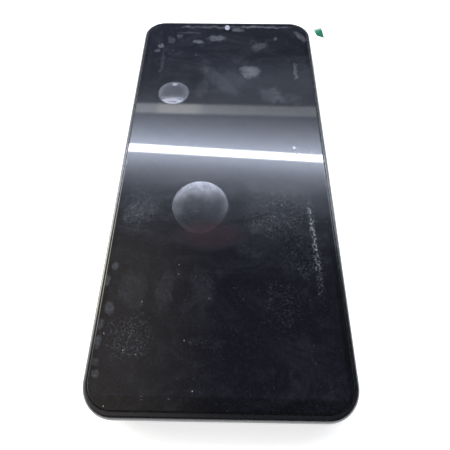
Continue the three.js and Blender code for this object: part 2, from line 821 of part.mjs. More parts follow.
function simTraySeal() {
  const { y, width, low, high } = TRAY;
  const { from, to, grip } = SEAL;
  const inside = width / 2 + grip;
  return cut(
    barX(SEAL.width, SEAL.height, SEAL.corner, y, (low + high) / 2, from, to),
    block([from - 1, to + 1], [y - inside, y + inside], [low - grip, high + grip]),
  );
}

function simReader() {
  const { x, y, z, floor, roof, bay } = READER;
  const inside = [z[0] + floor, z[1] - roof];
  const leverBay = [LEVER.x + bay[0], LEVER.x + bay[1]];
  const channel = [EJECT.y - EJECT.channel, EJECT.y + EJECT.channel];
  const bladeHalf = TRAY.width / 2 + FIT;
  return join(
    cut(
      block(x, y, z),
      block([x[0] - 1, leverBay[0] + OVERCUT], [TRAY.y - bladeHalf, TRAY.y + bladeHalf], inside),
      block([x[0] - 1, LEVER.x], channel, inside),
      block(leverBay, [channel[0], LEVER.y + LEVER.halfLength + 1], inside),
    ),
    postZ(LEVER.pivot, LEVER.x, LEVER.y, inside[0] - OVERCUT, inside[1] + OVERCUT, SMALL_STEPS),
  );
}

function ejectLever() {
  const { halfLength, halfWidth, boss, pivot, low, high } = LEVER;
  const bar = block([-halfWidth, halfWidth], [-halfLength, halfLength], [low, high]);
  return cut(
    join(bar, postZ(boss, 0, 0, low, high)),
    postZ(pivot + EJECT.gap, 0, 0, low - 1, high + 1, SMALL_STEPS),
  );
}

// ---- Side keys ----

function sideKey(key) {
  const { height, corner, proud, flange, flangeThickness, travelGap } = KEYS;
  const flangeFace = KEY_WALL.skin - travelGap;
  const cap = barX(key.length, height, corner, 0, 0, flangeFace - flangeThickness / 2, HALF.x + proud);
  const rim = barX(
    key.length + 4 * flange,
    height + 2 * flange,
    corner,
    0,
    0,
    flangeFace - flangeThickness,
    flangeFace,
  );
  return join(cap, rim).translate(-HALF.x, 0, 0);
}

const DOME_SWITCHES = [KEYS.power.y, KEYS.volume.y - KEYS.domeSpread, KEYS.volume.y + KEYS.domeSpread];

function sideKeyFlex() {
  const { x, z, endGap, domeRadius, domeTop } = KEY_FLEX;
  const strip = block(x, [KEY_BAY[0] + endGap, KEY_BAY[1] - endGap], z);
  const domeStart = x[1] - FACE_GAP;
  const domes = DOME_SWITCHES.map((y) => postX(domeRadius, y, Z.keys, domeStart, domeTop, SMALL_STEPS));
  return join(strip, ...domes);
}

// ---- Battery, motor and leads ----

function motorRotor() {
  const { shaft, weight, weightX, canX } = MOTOR;
  const hub = { halfWidth: 0.7, height: 0.5, shaftReach: 2.5 };
  const half = new THREE.Shape();
  half.absarc(0, 0, weight, -Math.PI, 0, false);
  half.lineTo(hub.halfWidth, hub.height);
  half.lineTo(-hub.halfWidth, hub.height);
  const depth = weightX[1] - weightX[0];
  const fan = new THREE.ExtrudeGeometry(half, { depth, bevelEnabled: false, curveSegments: 8 })
    .rotateY(Math.PI / 2)
    .rotateX(Math.PI / 2)
    .translate(weightX[0], 0, 0);
  return join(fan, postX(shaft, 0, 0, canX[1] - hub.shaftReach, weightX[1], SMALL_STEPS));
}

function motorCan() {
  const { can, canX, shaft } = MOTOR;
  const boreDepth = 2.7;
  return cut(
    postX(can, 0, 0, ...canX),
    postX(shaft + OVERCUT, 0, 0, canX[1] - boreDepth, canX[1] + 1, SMALL_STEPS),
  );
}

// The aerial lead that runs down the battery's left side, with a round plug at each end.
function antennaCoax() {
  const height = 4.1;
  const lead = { radius: 0.45, steps: 32 };
  const plug = { radius: 1.2, low: 3.9 };
  const route = [
    [-28.5, 36],
    [-31.2, 34.8],
    [-32.7, 32.4],
    [-33, 29],
    [-33, 24],
    [-33, -47],
    [-33, -52],
    [-32.2, -57],
    [-29.8, -60.8],
    [-26.5, -62.2],
  ].map(([x, y]) => new THREE.Vector3(x, y, height));
  const section = new THREE.Shape();
  section.absarc(0, 0, lead.radius, 0, 2 * Math.PI, false);
  const wire = new THREE.ExtrudeGeometry(section, {
    steps: lead.steps,
    extrudePath: new THREE.CatmullRomCurve3(route, false, "centripetal"),
    curveSegments: ARC_STEPS,
  });
  const ends = [route[0], route[route.length - 1]];
  const plugTop = Z.boardBack - FACE_GAP;
  const plugs = ends.map(({ x, y }) => postZ(plug.radius, x, y, plug.low, plugTop, SMALL_STEPS));
  return join(wire, ...plugs);
}

// ---- Screws ----

function screwGeometry() {
  const { head, headHeight, shank, length, socket } = SCREW;
  return cut(
    join(postZ(head, 0, 0, -headHeight, 0, 14), postZ(shank, 0, 0, -OVERCUT, length, 8)),
    postZ(socket, 0, 0, -headHeight - 1, -headHeight / 3, 5),
  );
}

function screws(prefix, places, seat) {
  const name = (i) => `${prefix}_screw_${i + 1}`;
  return places.map(([x, y], i) => node(name(i), screwGeometry(), FINISH.steel, [x, y, seat]));
}

// ---- Assembly ----

function group(...members) {
  const made = new THREE.Group();
  made.add(...members);
  return made;
}

const displayGroup = group(
  node("protective_film", protectiveFilm(), FINISH.clearFilm),
  node("pull_tab_print", pullTabPrint(), FINISH.greenPrint, [PRINT.x, PRINT.y, PRINT.low]),
  node(
    "cover_glass",
    slab(glassShape(0), Z.glassBack, Z.glassFront, { height: 0.25, inset: 0.3, steps: 2 }),
    FINISH.blackGlass,
  ),
  node("display_adhesive", displayAdhesive(), FINISH.blackFoam),
  node("lcd_panel", panel(0, LCD.back, Z.glassBack - GLUE_GAP), FINISH.darkPanel),
  node("backlight_unit", panel(BACKLIGHT.shrink, ...BACKLIGHT.z), FINISH.whitePanel),
  node(
    "display_flex",
    ribbon(
      [
        [-76.5, 7.8],
        [-77.6, 7.7],
        [-78, 7.2],
        [-77.6, 6.68],
        [-76.5, 6.58],
        [-70.9, 6.58],
        [-70.1, 6.4],
        [-69.4, 5.9],
        [-68.6, 5.64],
        [-65, 5.64],
      ],
      0.1,
      [-7, 7],
    ),
    FINISH.flexAmber,
  ),
  node("graphite_sheet", block(GRAPHITE.x, GRAPHITE.y, GRAPHITE.z), FINISH.chipBlack),
  node("earpiece_mesh", earpieceMesh(), FINISH.steel),
  node("earpiece_receiver", block(RECEIVER.x, RECEIVER.y, RECEIVER.z), FINISH.blackPlastic),
  node("front_camera", frontCamera(), FINISH.lensBlack),
);

const chassisGroup = group(
  node("side_frame", sideFrame(), FINISH.blackFrame),
  node("mid_plate", midPlate(), FINISH.darkSteel),
  node("back_adhesive", backAdhesive(), FINISH.blackFoam),
  node("back_cover", backCover(), FINISH.blackCover),
  node("camera_surround", cameraSurround(), FINISH.blackFrame),
  node("camera_window", cameraWindow(), FINISH.blackGlass),
);

const upperBoardGroup = group(
  node("main_board", mainBoard(), FINISH.boardGreen),
  node("processor_chip", block(PROCESSOR.x, PROCESSOR.y, PROCESSOR.z), FINISH.chipBlack),
  node("processor_shield", shieldCan(SHIELD_SPANS.processor), FINISH.steel),
  node("radio_shield", shieldCan(SHIELD_SPANS.radio), FINISH.steel),
  node("upper_bracket", upperBracket(), FINISH.blackPlastic),
  node("sim_reader", simReader(), FINISH.darkSteel),
  node("sim_tray", simTray(), FINISH.blackFrame),
  node("sim_tray_seal", simTraySeal(), FINISH.rubber),
  node(
    "sim_eject_rod",
    postX(EJECT.rod, EJECT.y, EJECT.z, EJECT.rodStart, EJECT.rodEnd, SMALL_STEPS),
    FINISH.steel,
  ),
  node("sim_eject_lever", ejectLever(), FINISH.steel, [LEVER.x, LEVER.y, 0]),
  ...screws("upper_bracket", SCREWS.upper, Z.bracketUpper),
);

const rearCameraGroup = group(
  node("main_camera_housing", mainCameraHousing(), FINISH.darkSteel),
  node(
    "main_camera_barrel",
    mainCameraBarrel(),
    FINISH.lensBlack,
    [REAR_LENSES.main.x, REAR_LENSES.main.y, 0],
  ),
  node("wide_camera", fixedCamera(REAR_LENSES.wide, 3.6, 2), FINISH.lensBlack),
  node("macro_camera", fixedCamera(REAR_LENSES.macro, 2.6, 2.6), FINISH.lensBlack),
  node(
    "flash_led",
    block([-FLASH.half, FLASH.half], [-FLASH.half, FLASH.half], FLASH.z),
    FINISH.ledYellow,
    [REAR_LENSES.flash.x, REAR_LENSES.flash.y, 0],
  ),
);

function batteryPouch() {
  const { x, y, z, corner } = BATTERY;
  const outline = roundedShape(x[1] - x[0], y[1] - y[0], corner, (x[0] + x[1]) / 2, (y[0] + y[1]) / 2);
  return slab(outline, ...z, { height: 0.5, inset: 0.5, steps: 2 });
}

const batteryGroup = group(
  node("battery", batteryPouch(), FINISH.batteryGrey),
  node("battery_adhesive", block(BATTERY_GLUE.x, BATTERY_GLUE.y, BATTERY_GLUE.z), FINISH.blackFoam),
  node(
    "battery_flex",
    ribbon(
      [
        [30.1, 4],
        [31.2, 4.05],
        [32.4, 4.5],
        [33.4, 4.62],
        [37.8, 4.62],
      ],
      0.12,
      [-24, -15],
    ),
    FINISH.flexAmber,
  ),
  node(
    "board_link_flex",
    ribbon(
      [
        [37.5, 4.62],
        [33.6, 4.62],
        [32.2, 4.2],
        [31.2, 2.2],
        [30.2, 1.15],
        [28.5, 1.08],
        [-49, 1.08],
        [-50.8, 1.2],
        [-52.4, 3],
        [-54, 4.4],
        [-56, 4.62],
        [-64.6, 4.62],
      ],
      0.12,
      [-7, 3],
    ),
    FINISH.flexAmber,
  ),
  node("antenna_coax", antennaCoax(), FINISH.chipBlack),
  node("vibration_motor_can", motorCan(), FINISH.steel, [0, MOTOR.y, MOTOR.z]),
  node("vibration_motor_rotor", motorRotor(), FINISH.brass, [0, MOTOR.y, MOTOR.z]),
);

const lowerBoardGroup = group(
  node("sub_board", subBoard(), FINISH.boardGreen),
  node("lower_bracket", lowerBracket(), FINISH.blackPlastic),
  node("usb_port_shell", usbShell(), FINISH.steel),
  node("usb_port_tongue", usbTongue(), FINISH.chipBlack),
  node("headphone_jack", headphoneJack(), FINISH.blackPlastic),
  node(
    "bottom_microphone",
    block(
      [SOCKET.micX - MICROPHONE.halfWidth, SOCKET.micX + MICROPHONE.halfWidth],
      MICROPHONE.y,
      [MICROPHONE.low, Z.boardBack - FACE_GAP],
    ),
    FINISH.brass,
  ),
  node("loudspeaker_box", loudspeakerBox(), FINISH.blackPlastic),
  node("loudspeaker_mesh", block(SPEAKER_MESH.x, SPEAKER_MESH.y, SPEAKER_MESH.z), FINISH.darkSteel),
  ...screws("lower_bracket", SCREWS.lower, Z.bracketLower),
  ...screws("loudspeaker", SCREWS.speaker, SPEAKER_BOX.z[0]),
);

const keyGroup = group(
  node("power_key", sideKey(KEYS.power), FINISH.blackFrame, [HALF.x, KEYS.power.y, Z.keys]),
  node("volume_key", sideKey(KEYS.volume), FINISH.blackFrame, [HALF.x, KEYS.volume.y, Z.keys]),
  node("side_key_flex", sideKeyFlex(), FINISH.flexAmber),
  node(
    "side_key_bracket",
    block(KEY_BRACKET.x, [KEY_BAY[0] + KEY_BRACKET.endGap, KEY_BAY[1] - KEY_BRACKET.endGap], KEY_BRACKET.z),
    FINISH.steel,
  ),
);

const phone = group(
  displayGroup,
  chassisGroup,
  upperBoardGroup,
  rearCameraGroup,
  batteryGroup,
  lowerBoardGroup,
  keyGroup,
);

export default phone;
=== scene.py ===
import math

import bmesh
import bpy
from mathutils import Matrix, Vector


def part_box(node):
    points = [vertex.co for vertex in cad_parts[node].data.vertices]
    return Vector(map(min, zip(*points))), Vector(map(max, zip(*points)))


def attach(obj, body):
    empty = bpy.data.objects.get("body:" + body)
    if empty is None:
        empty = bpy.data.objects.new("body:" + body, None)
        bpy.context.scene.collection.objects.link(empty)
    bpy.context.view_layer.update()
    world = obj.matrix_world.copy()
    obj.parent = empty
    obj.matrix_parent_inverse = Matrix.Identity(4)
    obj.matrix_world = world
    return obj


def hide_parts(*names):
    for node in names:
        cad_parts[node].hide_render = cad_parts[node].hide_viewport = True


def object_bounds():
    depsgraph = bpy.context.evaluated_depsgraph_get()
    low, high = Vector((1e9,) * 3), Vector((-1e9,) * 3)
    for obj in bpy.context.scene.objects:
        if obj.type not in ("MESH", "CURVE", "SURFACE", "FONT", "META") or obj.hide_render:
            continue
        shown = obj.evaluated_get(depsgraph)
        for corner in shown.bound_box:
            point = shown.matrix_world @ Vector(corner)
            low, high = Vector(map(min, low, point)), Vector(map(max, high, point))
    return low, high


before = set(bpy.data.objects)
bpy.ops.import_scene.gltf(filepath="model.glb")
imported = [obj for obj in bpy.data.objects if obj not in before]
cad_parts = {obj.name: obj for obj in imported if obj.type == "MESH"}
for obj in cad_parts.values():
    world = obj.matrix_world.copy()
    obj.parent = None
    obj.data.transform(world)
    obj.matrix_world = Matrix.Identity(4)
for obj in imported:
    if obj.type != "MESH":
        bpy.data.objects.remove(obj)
cadLow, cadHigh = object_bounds()
print("frame loaded,", len(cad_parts), "pieces")

mm = 0.001  # pieces are shaped in millimetres and brought to metres as they are finished


def boxOf(node):
    low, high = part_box(node)
    return low / mm, high / mm


def middleOf(node):
    low, high = boxOf(node)
    return (low + high) / 2


# ---- shader maths ----


class Wire:
    # a socket that takes part in sums; every operator adds one Math node
    def __init__(self, paint, socket):
        self.paint = paint
        self.socket = socket

    def __add__(self, other):
        return self.paint.maths("ADD", self, other)

    def __radd__(self, other):
        return self.paint.maths("ADD", other, self)

    def __sub__(self, other):
        return self.paint.maths("SUBTRACT", self, other)

    def __rsub__(self, other):
        return self.paint.maths("SUBTRACT", other, self)

    def __mul__(self, other):
        return self.paint.maths("MULTIPLY", self, other)

    def __rmul__(self, other):
        return self.paint.maths("MULTIPLY", other, self)

    def __truediv__(self, other):
        return self.paint.maths("DIVIDE", self, other)

    def __pow__(self, other):
        return self.paint.maths("POWER", self, other)

    def __gt__(self, other):
        return self.paint.maths("GREATER_THAN", self, other)

    def __lt__(self, other):
        return self.paint.maths("LESS_THAN", self, other)

    def clamped(self):
        return self.paint.maths("ADD", self, 0, clamp=True)

    def larger(self, other):
        return self.paint.maths("MAXIMUM", self, other)

    def smaller(self, other):
        return self.paint.maths("MINIMUM", self, other)

    def size(self):
        return self.paint.maths("ABSOLUTE", self)

    def fraction(self):
        return self.paint.maths("FRACT", self)

    def wave(self):
        return self.paint.maths("SINE", self)

    def ramp(self, start, end, low=0, high=1):
        # smooth change from low to high as this value goes from start to end
        settings = {"interpolation_type": "SMOOTHSTEP"}
        inputs = {"Value": self, "From Min": start, "From Max": end, "To Min": low, "To Max": high}
        return self.paint.add("ShaderNodeMapRange", settings, inputs)


class Paint:
    # one material, or the world, and the nodes that make its pattern
    def __init__(self, owner):
        self.owner = owner
        owner.use_nodes = True
        self.tree = owner.node_tree
        self.kept = {}

    def add(self, kind, settings=None, inputs=None, output=0):
        node = self.tree.nodes.new(kind)
        for key, value in (settings or {}).items():
            if key == "stops":
                self.setStops(node.color_ramp, value)
            else:
                setattr(node, key, value)
        for key, value in (inputs or {}).items():
            self.feed(node.inputs[key], value)
        return Wire(self, node.outputs[output])

    def feed(self, socket, value):
        if isinstance(value, Wire):
            self.tree.links.new(value.socket, socket)
        else:
            socket.default_value = value

    def setStops(self, colorRamp, stops):
        while len(colorRamp.elements) < len(stops):
            colorRamp.elements.new(1)
        for element, (place, color) in zip(colorRamp.elements, stops):
            element.position = place
            element.color = (*color, 1)

    def maths(self, operation, *values, clamp=False):
        settings = {"operation": operation, "use_clamp": clamp}
        return self.add("ShaderNodeMath", settings, dict(enumerate(values)))

    def mixColor(self, share, first, second, blend="MIX"):
        settings = {"data_type": "RGBA", "blend_type": blend}
        colors = [c if isinstance(c, Wire) else (*c, 1) for c in (first, second)]
        return self.add("ShaderNodeMix", settings, {0: share, 6: colors[0], 7: colors[1]}, output=2)

    def place(self, turn=0.0, stretch=(1, 1, 1)):
        # object coordinates in millimetres, turned about Z and stretched
        key = (turn, stretch)
        if key not in self.kept:
            coordinates = self.add("ShaderNodeTexCoord", output="Object")
            scale = [s / mm for s in stretch]
            inputs = {"Vector": coordinates, "Rotation": (0, 0, turn), "Scale": scale}
            self.kept[key] = self.add("ShaderNodeMapping", {}, inputs)
        return self.kept[key]

    def axes(self, place=None):
        split = self.add("ShaderNodeSeparateXYZ", {}, {"Vector": place or self.place()})
        outputs = split.socket.node.outputs
        return [Wire(self, outputs[i]) for i in range(3)]

    def noise(self, scale, detail=3, roughness=0.5, distortion=0.0, place=None):
        inputs = {
            "Vector": place or self.place(),
            "Scale": scale,
            "Detail": detail,
            "Roughness": roughness,
            "Distortion": distortion,
        }
        return self.add("ShaderNodeTexNoise", {}, inputs)

    def cells(self, scale, randomness=1.0, output="Distance"):
        inputs = {"Vector": self.place(), "Scale": scale, "Randomness": randomness}
        return self.add("ShaderNodeTexVoronoi", {"feature": "F1"}, inputs, output=output)

    def cellsAndPick(self, scale):
        # the distance to each cell's middle and a steady random number for each cell
        distance = self.cells(scale)
        pick, _, _ = self.axes(Wire(self, distance.socket.node.outputs["Color"]))
        return distance, pick

    def bump(self, height, strength, distance):
        inputs = {"Height": height, "Strength": strength, "Distance": distance * mm}
        return self.add("ShaderNodeBump", {}, inputs)


def newMaterial(name, **fixed):
    paint = Paint(bpy.data.materials.new(name))
    paint.shader = paint.tree.nodes["Principled BSDF"]
    finish(paint, **fixed)
    return paint


# Sockets of the Principled shader, by the plain name used here
socketNames = {
    "color": "Base Color",
    "roughness": "Roughness",
    "metallic": "Metallic",
    "coat": "Coat Weight",
    "coatRoughness": "Coat Roughness",
    "ior": "IOR",
    "alpha": "Alpha",
    "glow": "Emission Color",
    "glowStrength": "Emission Strength",
    "normal": "Normal",
    "coatIor": "Coat IOR",
    "anisotropic": "Anisotropic",
    "specular": "Specular IOR Level",
}


def finish(paint, **values):
    for key, value in values.items():
        isColor = key in ("color", "glow") and not isinstance(value, Wire)
        paint.feed(paint.shader.inputs[socketNames[key]], (*value, 1) if isColor else value)
    return paint


# ---- making and finishing pieces ----


def finishPiece(name, bm, paint, body, replaces=(), sharpAngle=35, clean=True):
    if clean:
        bmesh.ops.remove_doubles(bm, verts=bm.verts, dist=1e-4)
        bmesh.ops.recalc_face_normals(bm, faces=bm.faces)
    bmesh.ops.scale(bm, vec=(mm, mm, mm), verts=bm.verts)
    mesh = bpy.data.meshes.new(name)
    bm.to_mesh(mesh)
    bm.free()
    mesh.polygons.foreach_set("use_smooth", [True] * len(mesh.polygons))
    mesh.set_sharp_from_angle(angle=math.radians(sharpAngle))
    piece = bpy.data.objects.new(name, mesh)
    bpy.context.scene.collection.objects.link(piece)
    piece.data.materials.append(paint.owner)
    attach(piece, body)
    if replaces:
        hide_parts(*replaces)
    weigh = piece.modifiers.new("evenShading", "WEIGHTED_NORMAL")
    weigh.keep_sharp = True
    return piece


def roundedBlock(low, high, corner, steps=12):
    # a block with its upright edges rounded
    bm = bmesh.new()
    low, high = Vector(low), Vector(high)
    size = high - low
    matrix = Matrix.Translation((low + high) / 2) @ Matrix.Diagonal((*size, 1))
    bmesh.ops.create_cube(bm, size=1, matrix=matrix)
    upright = [e for e in bm.edges if abs(e.verts[0].co.z - e.verts[1].co.z) > size.z / 2]
    bmesh.ops.bevel(
        bm,
        geom=upright,
        offset=corner,
        offset_type="OFFSET",
        segments=steps,
        profile=0.5,
        affect="EDGES",
        material=-1,
    )
    return bm


def flatFace(bm, upwards=True):
    sign = 1 if upwards else -1
    return max(bm.faces, key=lambda f: (f.normal.z * sign, f.calc_center_median().z * sign))


def rollOver(bm, face, height, inset, steps=6):
    # turns the rim of a flat face over in a quarter ellipse
    bm.normal_update()
    for i in range(steps):
        before, after = (math.pi / 2 * k / steps for k in (i, i + 1))
        thickness = inset * (math.cos(before) - math.cos(after))
        depth = height * (math.sin(after) - math.sin(before))
        bmesh.ops.inset_region(
            bm,
            faces=[face],
            thickness=thickness,
            depth=depth,
            use_even_offset=True,
            use_boundary=True,
        )
        bm.normal_update()


def fromNode(node):
    # a merged copy of a CAD node in millimetres, its flat stretches joined into single faces
    bm = bmesh.new()
    bm.from_mesh(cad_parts[node].data)
    bmesh.ops.scale(bm, vec=(1 / mm,) * 3, verts=bm.verts)
    bmesh.ops.remove_doubles(bm, verts=bm.verts, dist=1e-3)
    bmesh.ops.dissolve_limit(bm, angle_limit=math.radians(0.5), verts=bm.verts, edges=bm.edges)
    return bm


def softenEdges(bm, width, sharpAngle=50, segments=2):
    bm.normal_update()
    sharp = [e for e in bm.edges if e.is_manifold and e.calc_face_angle(0) > math.radians(sharpAngle)]
    bmesh.ops.bevel(
        bm,
        geom=sharp,
        offset=width,
        offset_type="OFFSET",
        segments=segments,
        profile=0.5,
        affect="EDGES",
        material=-1,
        clamp_overlap=True,
    )


# ---- camera, floor and light ----

view = {
    "position": (1.5, -78.2, 113.5),  # just above the phone's bottom edge
    "turn": (27.02, 0.12, 0.87),
    "lens": 28.35,
}
camera = bpy.data.objects.new("camera", bpy.data.cameras.new("camera"))
bpy.context.scene.collection.objects.link(camera)
camera.location = Vector(view["position"]) * mm
camera.rotation_euler = [math.radians(a) for a in view["turn"]]
camera.data.lens = view["lens"]
camera.data.sensor_width = 36
camera.data.clip_start = 0.005
bpy.context.scene.camera = camera
bpy.context.scene.view_settings.view_transform = "Standard"

studio = {
    "wall": 1.15,  # brightness of the pale walls round the table
    "frontWall": 0.06,  # share of it left behind the camera
    "ceiling": (0.085, 0.088, 0.132),
    "farCeiling": (0.13, 0.15, 0.24),  # added further towards the earpiece end
    "capTilt": 29,  # the dark stretch of ceiling leans this far from upright
    "capInner": 38,
    "capOuter": 60,
    "stripLean": 0.795,  # where the glass mirrors the strip light, 0 being straight up
    "stripSlope": 0.061,
    "strip": 32.0,
    "midCeiling": (0.42, 0.50, 0.62),  # added over the middle of the upper half
    "glow": 15.0,
    "glowColor": (0.745, 0.835, 1.02),
    "secondLean": 1.001,
    "secondLamp": 1.7,
    "warmVeil": (0.50, 0.43, 0.34),
    "sideGlow": (9.2, 8.7, 6.9),  # a warm lamp low on the left, which lights the left rim
    "floorColor": (0.93, 0.93, 0.93),
    "floorGlow": 0.62,
}


def scaled(paint, color, amount):
    return paint.add("ShaderNodeVectorMath", {"operation": "SCALE"}, {0: color, "Scale": amount})


def added(paint, first, *others):
    for other in others:
        first = paint.add("ShaderNodeVectorMath", {"operation": "ADD"}, {0: first, 1: other})
    return first


def litRoom():
    # pale walls, and over the table a dark ceiling with a strip light's glow for the glass to mirror
    paint = Paint(bpy.data.worlds.new("room"))
    bpy.context.scene.world = paint.owner
    direction = paint.add("ShaderNodeTexCoord", output="Generated")
    tilt = math.radians(studio["capTilt"])
    settings = {"operation": "DOT_PRODUCT"}
    axis = (0, math.sin(tilt), math.cos(tilt))
    along = paint.add("ShaderNodeVectorMath", settings, {0: direction, 1: axis}, output="Value")
    inner = math.cos(math.radians(studio["capInner"]))
    outer = math.cos(math.radians(studio["capOuter"]))
    cap = along.ramp(outer, inner)
    x, y, z = paint.axes(direction)
    height = z.larger(0.05)
    lean = y / height  # 0 straight up, and larger further towards the earpiece end
    side = x / height
    past = lean + side * studio["stripSlope"] - studio["stripLean"]
    beyond = past.larger(0) * -11.0
    before = past.smaller(0) * 13.0
    glow = paint.maths("EXPONENT", beyond + before) * studio["glow"] * side.size().ramp(3.0, 0.8)
    second = (lean + side * 0.018 - studio["secondLean"]).size().ramp(0.034, 0.014)
    second = second * side.ramp(0.34, -0.22, 0.8, 1.45) * studio["secondLamp"]
    bright = second * side.ramp(-0.29, -0.26) * side.ramp(-0.09, -0.13) * 0.55
    far = lean.ramp(0.95, 1.3) * side.ramp(-0.12, 0.22, 1.0, 0.62)
    middle = (lean - 1.16).size().ramp(0.17, 0.0) * side.ramp(-0.16, 0.02)
    warm = lean.ramp(0.66, 0.34) * side.ramp(0.02, -0.34)
    width = side * -0.14 + 1
    strip = (past.size() / width).ramp(0.0215, 0.0095) * side.size().ramp(1.6, 1.2) * studio["strip"]
    ceiling = added(
        paint,
        studio["ceiling"],
        scaled(paint, (1, 1, 1), strip),
        scaled(paint, studio["farCeiling"], far),
        scaled(paint, studio["midCeiling"], middle),
        scaled(paint, studio["glowColor"], glow),
        scaled(paint, (0.94, 0.97, 1.0), second),
        scaled(paint, (1.0, 1.0, 0.86), bright),
        scaled(paint, studio["warmVeil"], warm),
    )
    background = paint.tree.nodes["Background"]
    rightDim = 1 - x.ramp(0.1, 0.6) * y.ramp(0.52, 0.32) * 0.72
    wallShare = y.ramp(-0.6, 0.05, studio["frontWall"], 1.0) * x.ramp(-0.9, 0.9, 1.8, 0.6) * rightDim
    wall = scaled(paint, (0.98, 0.99, 1.0), wallShare * studio["wall"])
    sideGlow = x.ramp(-0.45, -0.8) * (y - 0.34).size().ramp(0.26, 0.05)
    wall = added(paint, wall, scaled(paint, studio["sideGlow"], sideGlow))
    paint.feed(background.inputs["Color"], paint.mixColor(cap, wall, ceiling))
    background.inputs["Strength"].default_value = 1


def areaLight(name, place, target, size, power):
    light = bpy.data.objects.new(name, bpy.data.lights.new(name, "AREA"))
    bpy.context.scene.collection.objects.link(light)
    light.data.shape = "RECTANGLE"
    light.data.size, light.data.size_y = size
    light.data.energy = power
    facing = (Vector(target) - Vector(place)).to_track_quat("-Z", "Y").to_matrix().to_4x4()
    light.matrix_world = Matrix.Translation(place) @ facing
    light.visible_camera = False


def makeFloor():
    bm = bmesh.new()
    low = cadLow / mm
    bmesh.ops.create_grid(bm, x_segments=1, y_segments=1, size=3000)
    bmesh.ops.translate(bm, vec=(0, 0, low.z - 0.02), verts=bm.verts)
    bmesh.ops.scale(bm, vec=(mm, mm, mm), verts=bm.verts)
    mesh = bpy.data.meshes.new("floor")
    bm.to_mesh(mesh)
    bm.free()
    floor = bpy.data.objects.new("floor", mesh)
    bpy.context.scene.collection.objects.link(floor)
    paint = newMaterial("paleFloor", color=studio["floorColor"], roughness=0.9)
    finish(paint, glow=(1, 1, 1), glowStrength=studio["floorGlow"])
    mesh.materials.append(paint.owner)


litRoom()
makeFloor()
areaLight("softBox", (-0.9, 0.5, 0.7), (0, 0, 0), (0.6, 0.6), 1.5)
print("camera, floor and light are in place")


# ---- glass and film ----

filmMarks = {
    # x, y, half width, half height, turn in degrees and strength of each hazy patch, in millimetres
    "patches": [
        (10.2, 48.2, 4.4, 3.9, -20, 0.085),
        (18.6, 34.4, 4.6, 4.4, 0, 0.030),
        (3.5, 44.0, 6.0, 3.5, -50, 0.012),
        (-3.2, 43.0, 13.0, 3.6, -48, 0.019),
        (-10.0, 38.5, 2.6, 6.5, -12, 0.012),
        (24.5, 33.0, 6.0, 2.4, 10, 0.016),
        (-4.7, 69.7, 4.6, 1.9, 0, 0.062),
        (-12.9, 67.3, 2.6, 1.5, -10, 0.075),
        (-25.2, 68.6, 1.8, 2.6, 20, 0.034),
        (-21.6, 71.0, 1.6, 1.5, -25, 0.040),
        (-29.4, 64.3, 1.3, 1.7, 0, 0.105),
        (-30.6, 61.0, 1.5, 1.2, 0, 0.060),
        (-27.8, 54.0, 0.8, 9.0, 0, 0.022),
        (-17.3, 73.6, 6.0, 0.8, 0, 0.035),
        (14.6, 64.4, 4.2, 2.6, 30, 0.036),
        (21.7, 69.7, 0.8, 1.1, 0, 0.075),
        (29.2, 48.4, 0.9, 5.4, 0, 0.055),
        (33.0, 71.5, 1.6, 4.5, 35, 0.060),
        (-8.5, 77.6, 15.0, 0.7, 0, 0.070),
        (17.0, 77.8, 13.0, 0.8, 0, 0.085),
        (4.8, 75.6, 3.2, 1.4, 0, 0.060),
        (-27.0, -47.4, 4.6, 6.4, 12, 0.008),
        (-17.3, -47.3, 3.0, 7.5, -8, 0.008),
        (-6.0, -46.0, 4.0, 7.0, 10, 0.006),
        (25.8, 7.6, 0.75, 0.85, 0, 0.70),
        (26.5, 5.0, 0.55, 0.6, 0, 0.55),
        (31.6, 5.1, 0.6, 0.5, 0, 0.50),
        (-36.0, 0.4, 0.7, 1.6, 0, 0.20),
        (-33.5, -39.8, 1.2, 1.3, 0, 0.030),
        (-35.3, -44.6, 1.1, 2.0, 0, 0.036),
        (-33.2, -53.0, 1.5, 2.4, 20, 0.026),
        (-35.2, -57.7, 0.9, 1.6, 0, 0.034),
        (-35.0, -62.4, 1.2, 1.9, 0, 0.028),
        (-34.2, -71.0, 1.1, 1.1, 0, 0.030),
        (-34.8, -68.0, 1.2, 1.3, 0, 0.020),
        (-14.0, -6.5, 16.0, 2.6, 4, 0.012),
        (18.0, -10.5, 13.0, 3.0, -6, 0.016),
        (-28.5, -20.0, 7.0, 4.0, 30, 0.014),
        (15.0, -24.0, 9.0, 3.4, 15, 0.011),
    ],
    # x, y, half width, half height and strength of each cluster of fine scratches
    "scratches": [
        (-26.5, -61.5, 7.5, 7.5, 0.11),
        (18.1, -50.7, 7.0, 8.5, 0.035),
        (18.0, -19.0, 13.0, 12.0, 0.12),
        (-5.0, -62.5, 6.0, 1.6, 0.06),
        (26.0, -36.0, 8.0, 9.0, 0.06),
        (-28.0, -18.0, 8.0, 11.0, 0.11),
    ],
    "bubbles": [
        {"x": -21.4, "y": 35.4, "across": 6.2, "along": 6.2, "height": 0.34, "point": 0.0},
        {"x": -8.1, "y": -18.0, "across": 9.6, "along": 10.2, "height": 0.5, "point": 0.13},
    ],
}


def upperBubble(paint, across, along, reach):
    # clear and dark inside, with a painted highlight crescent low down cut by a painted dark slit, a painted
    # highlight dot at the top and a thin painted highlight rim
    inside = reach.ramp(1.03, 0.97)
    # painted highlight: a thin rim round the edge
    rim = reach.ramp(0.45, 0.98) * inside
    # painted highlight: a crescent low down
    height = along + across * across * 0.25
    paintedCrescentHighlight = height.ramp(-0.15, -0.80) ** 1.6 * across.size().ramp(1.02, 0.45) * inside
    # painted dark slit across the crescent highlight
    gap = (((across + 0.02) / 0.30) ** 2 + ((along + 0.83) / 0.075) ** 2).ramp(1.5, 0.3)
    # painted highlight: a dot at the top
    paintedDotHighlight = (((across - 0.02) / 0.20) ** 2 + ((along - 0.73) / 0.15) ** 2).ramp(1.5, 0.1) * inside
    return inside * 0.050 + rim * 0.050 + paintedCrescentHighlight * (1 - gap * 0.62) * 0.34 + paintedDotHighlight * 0.27


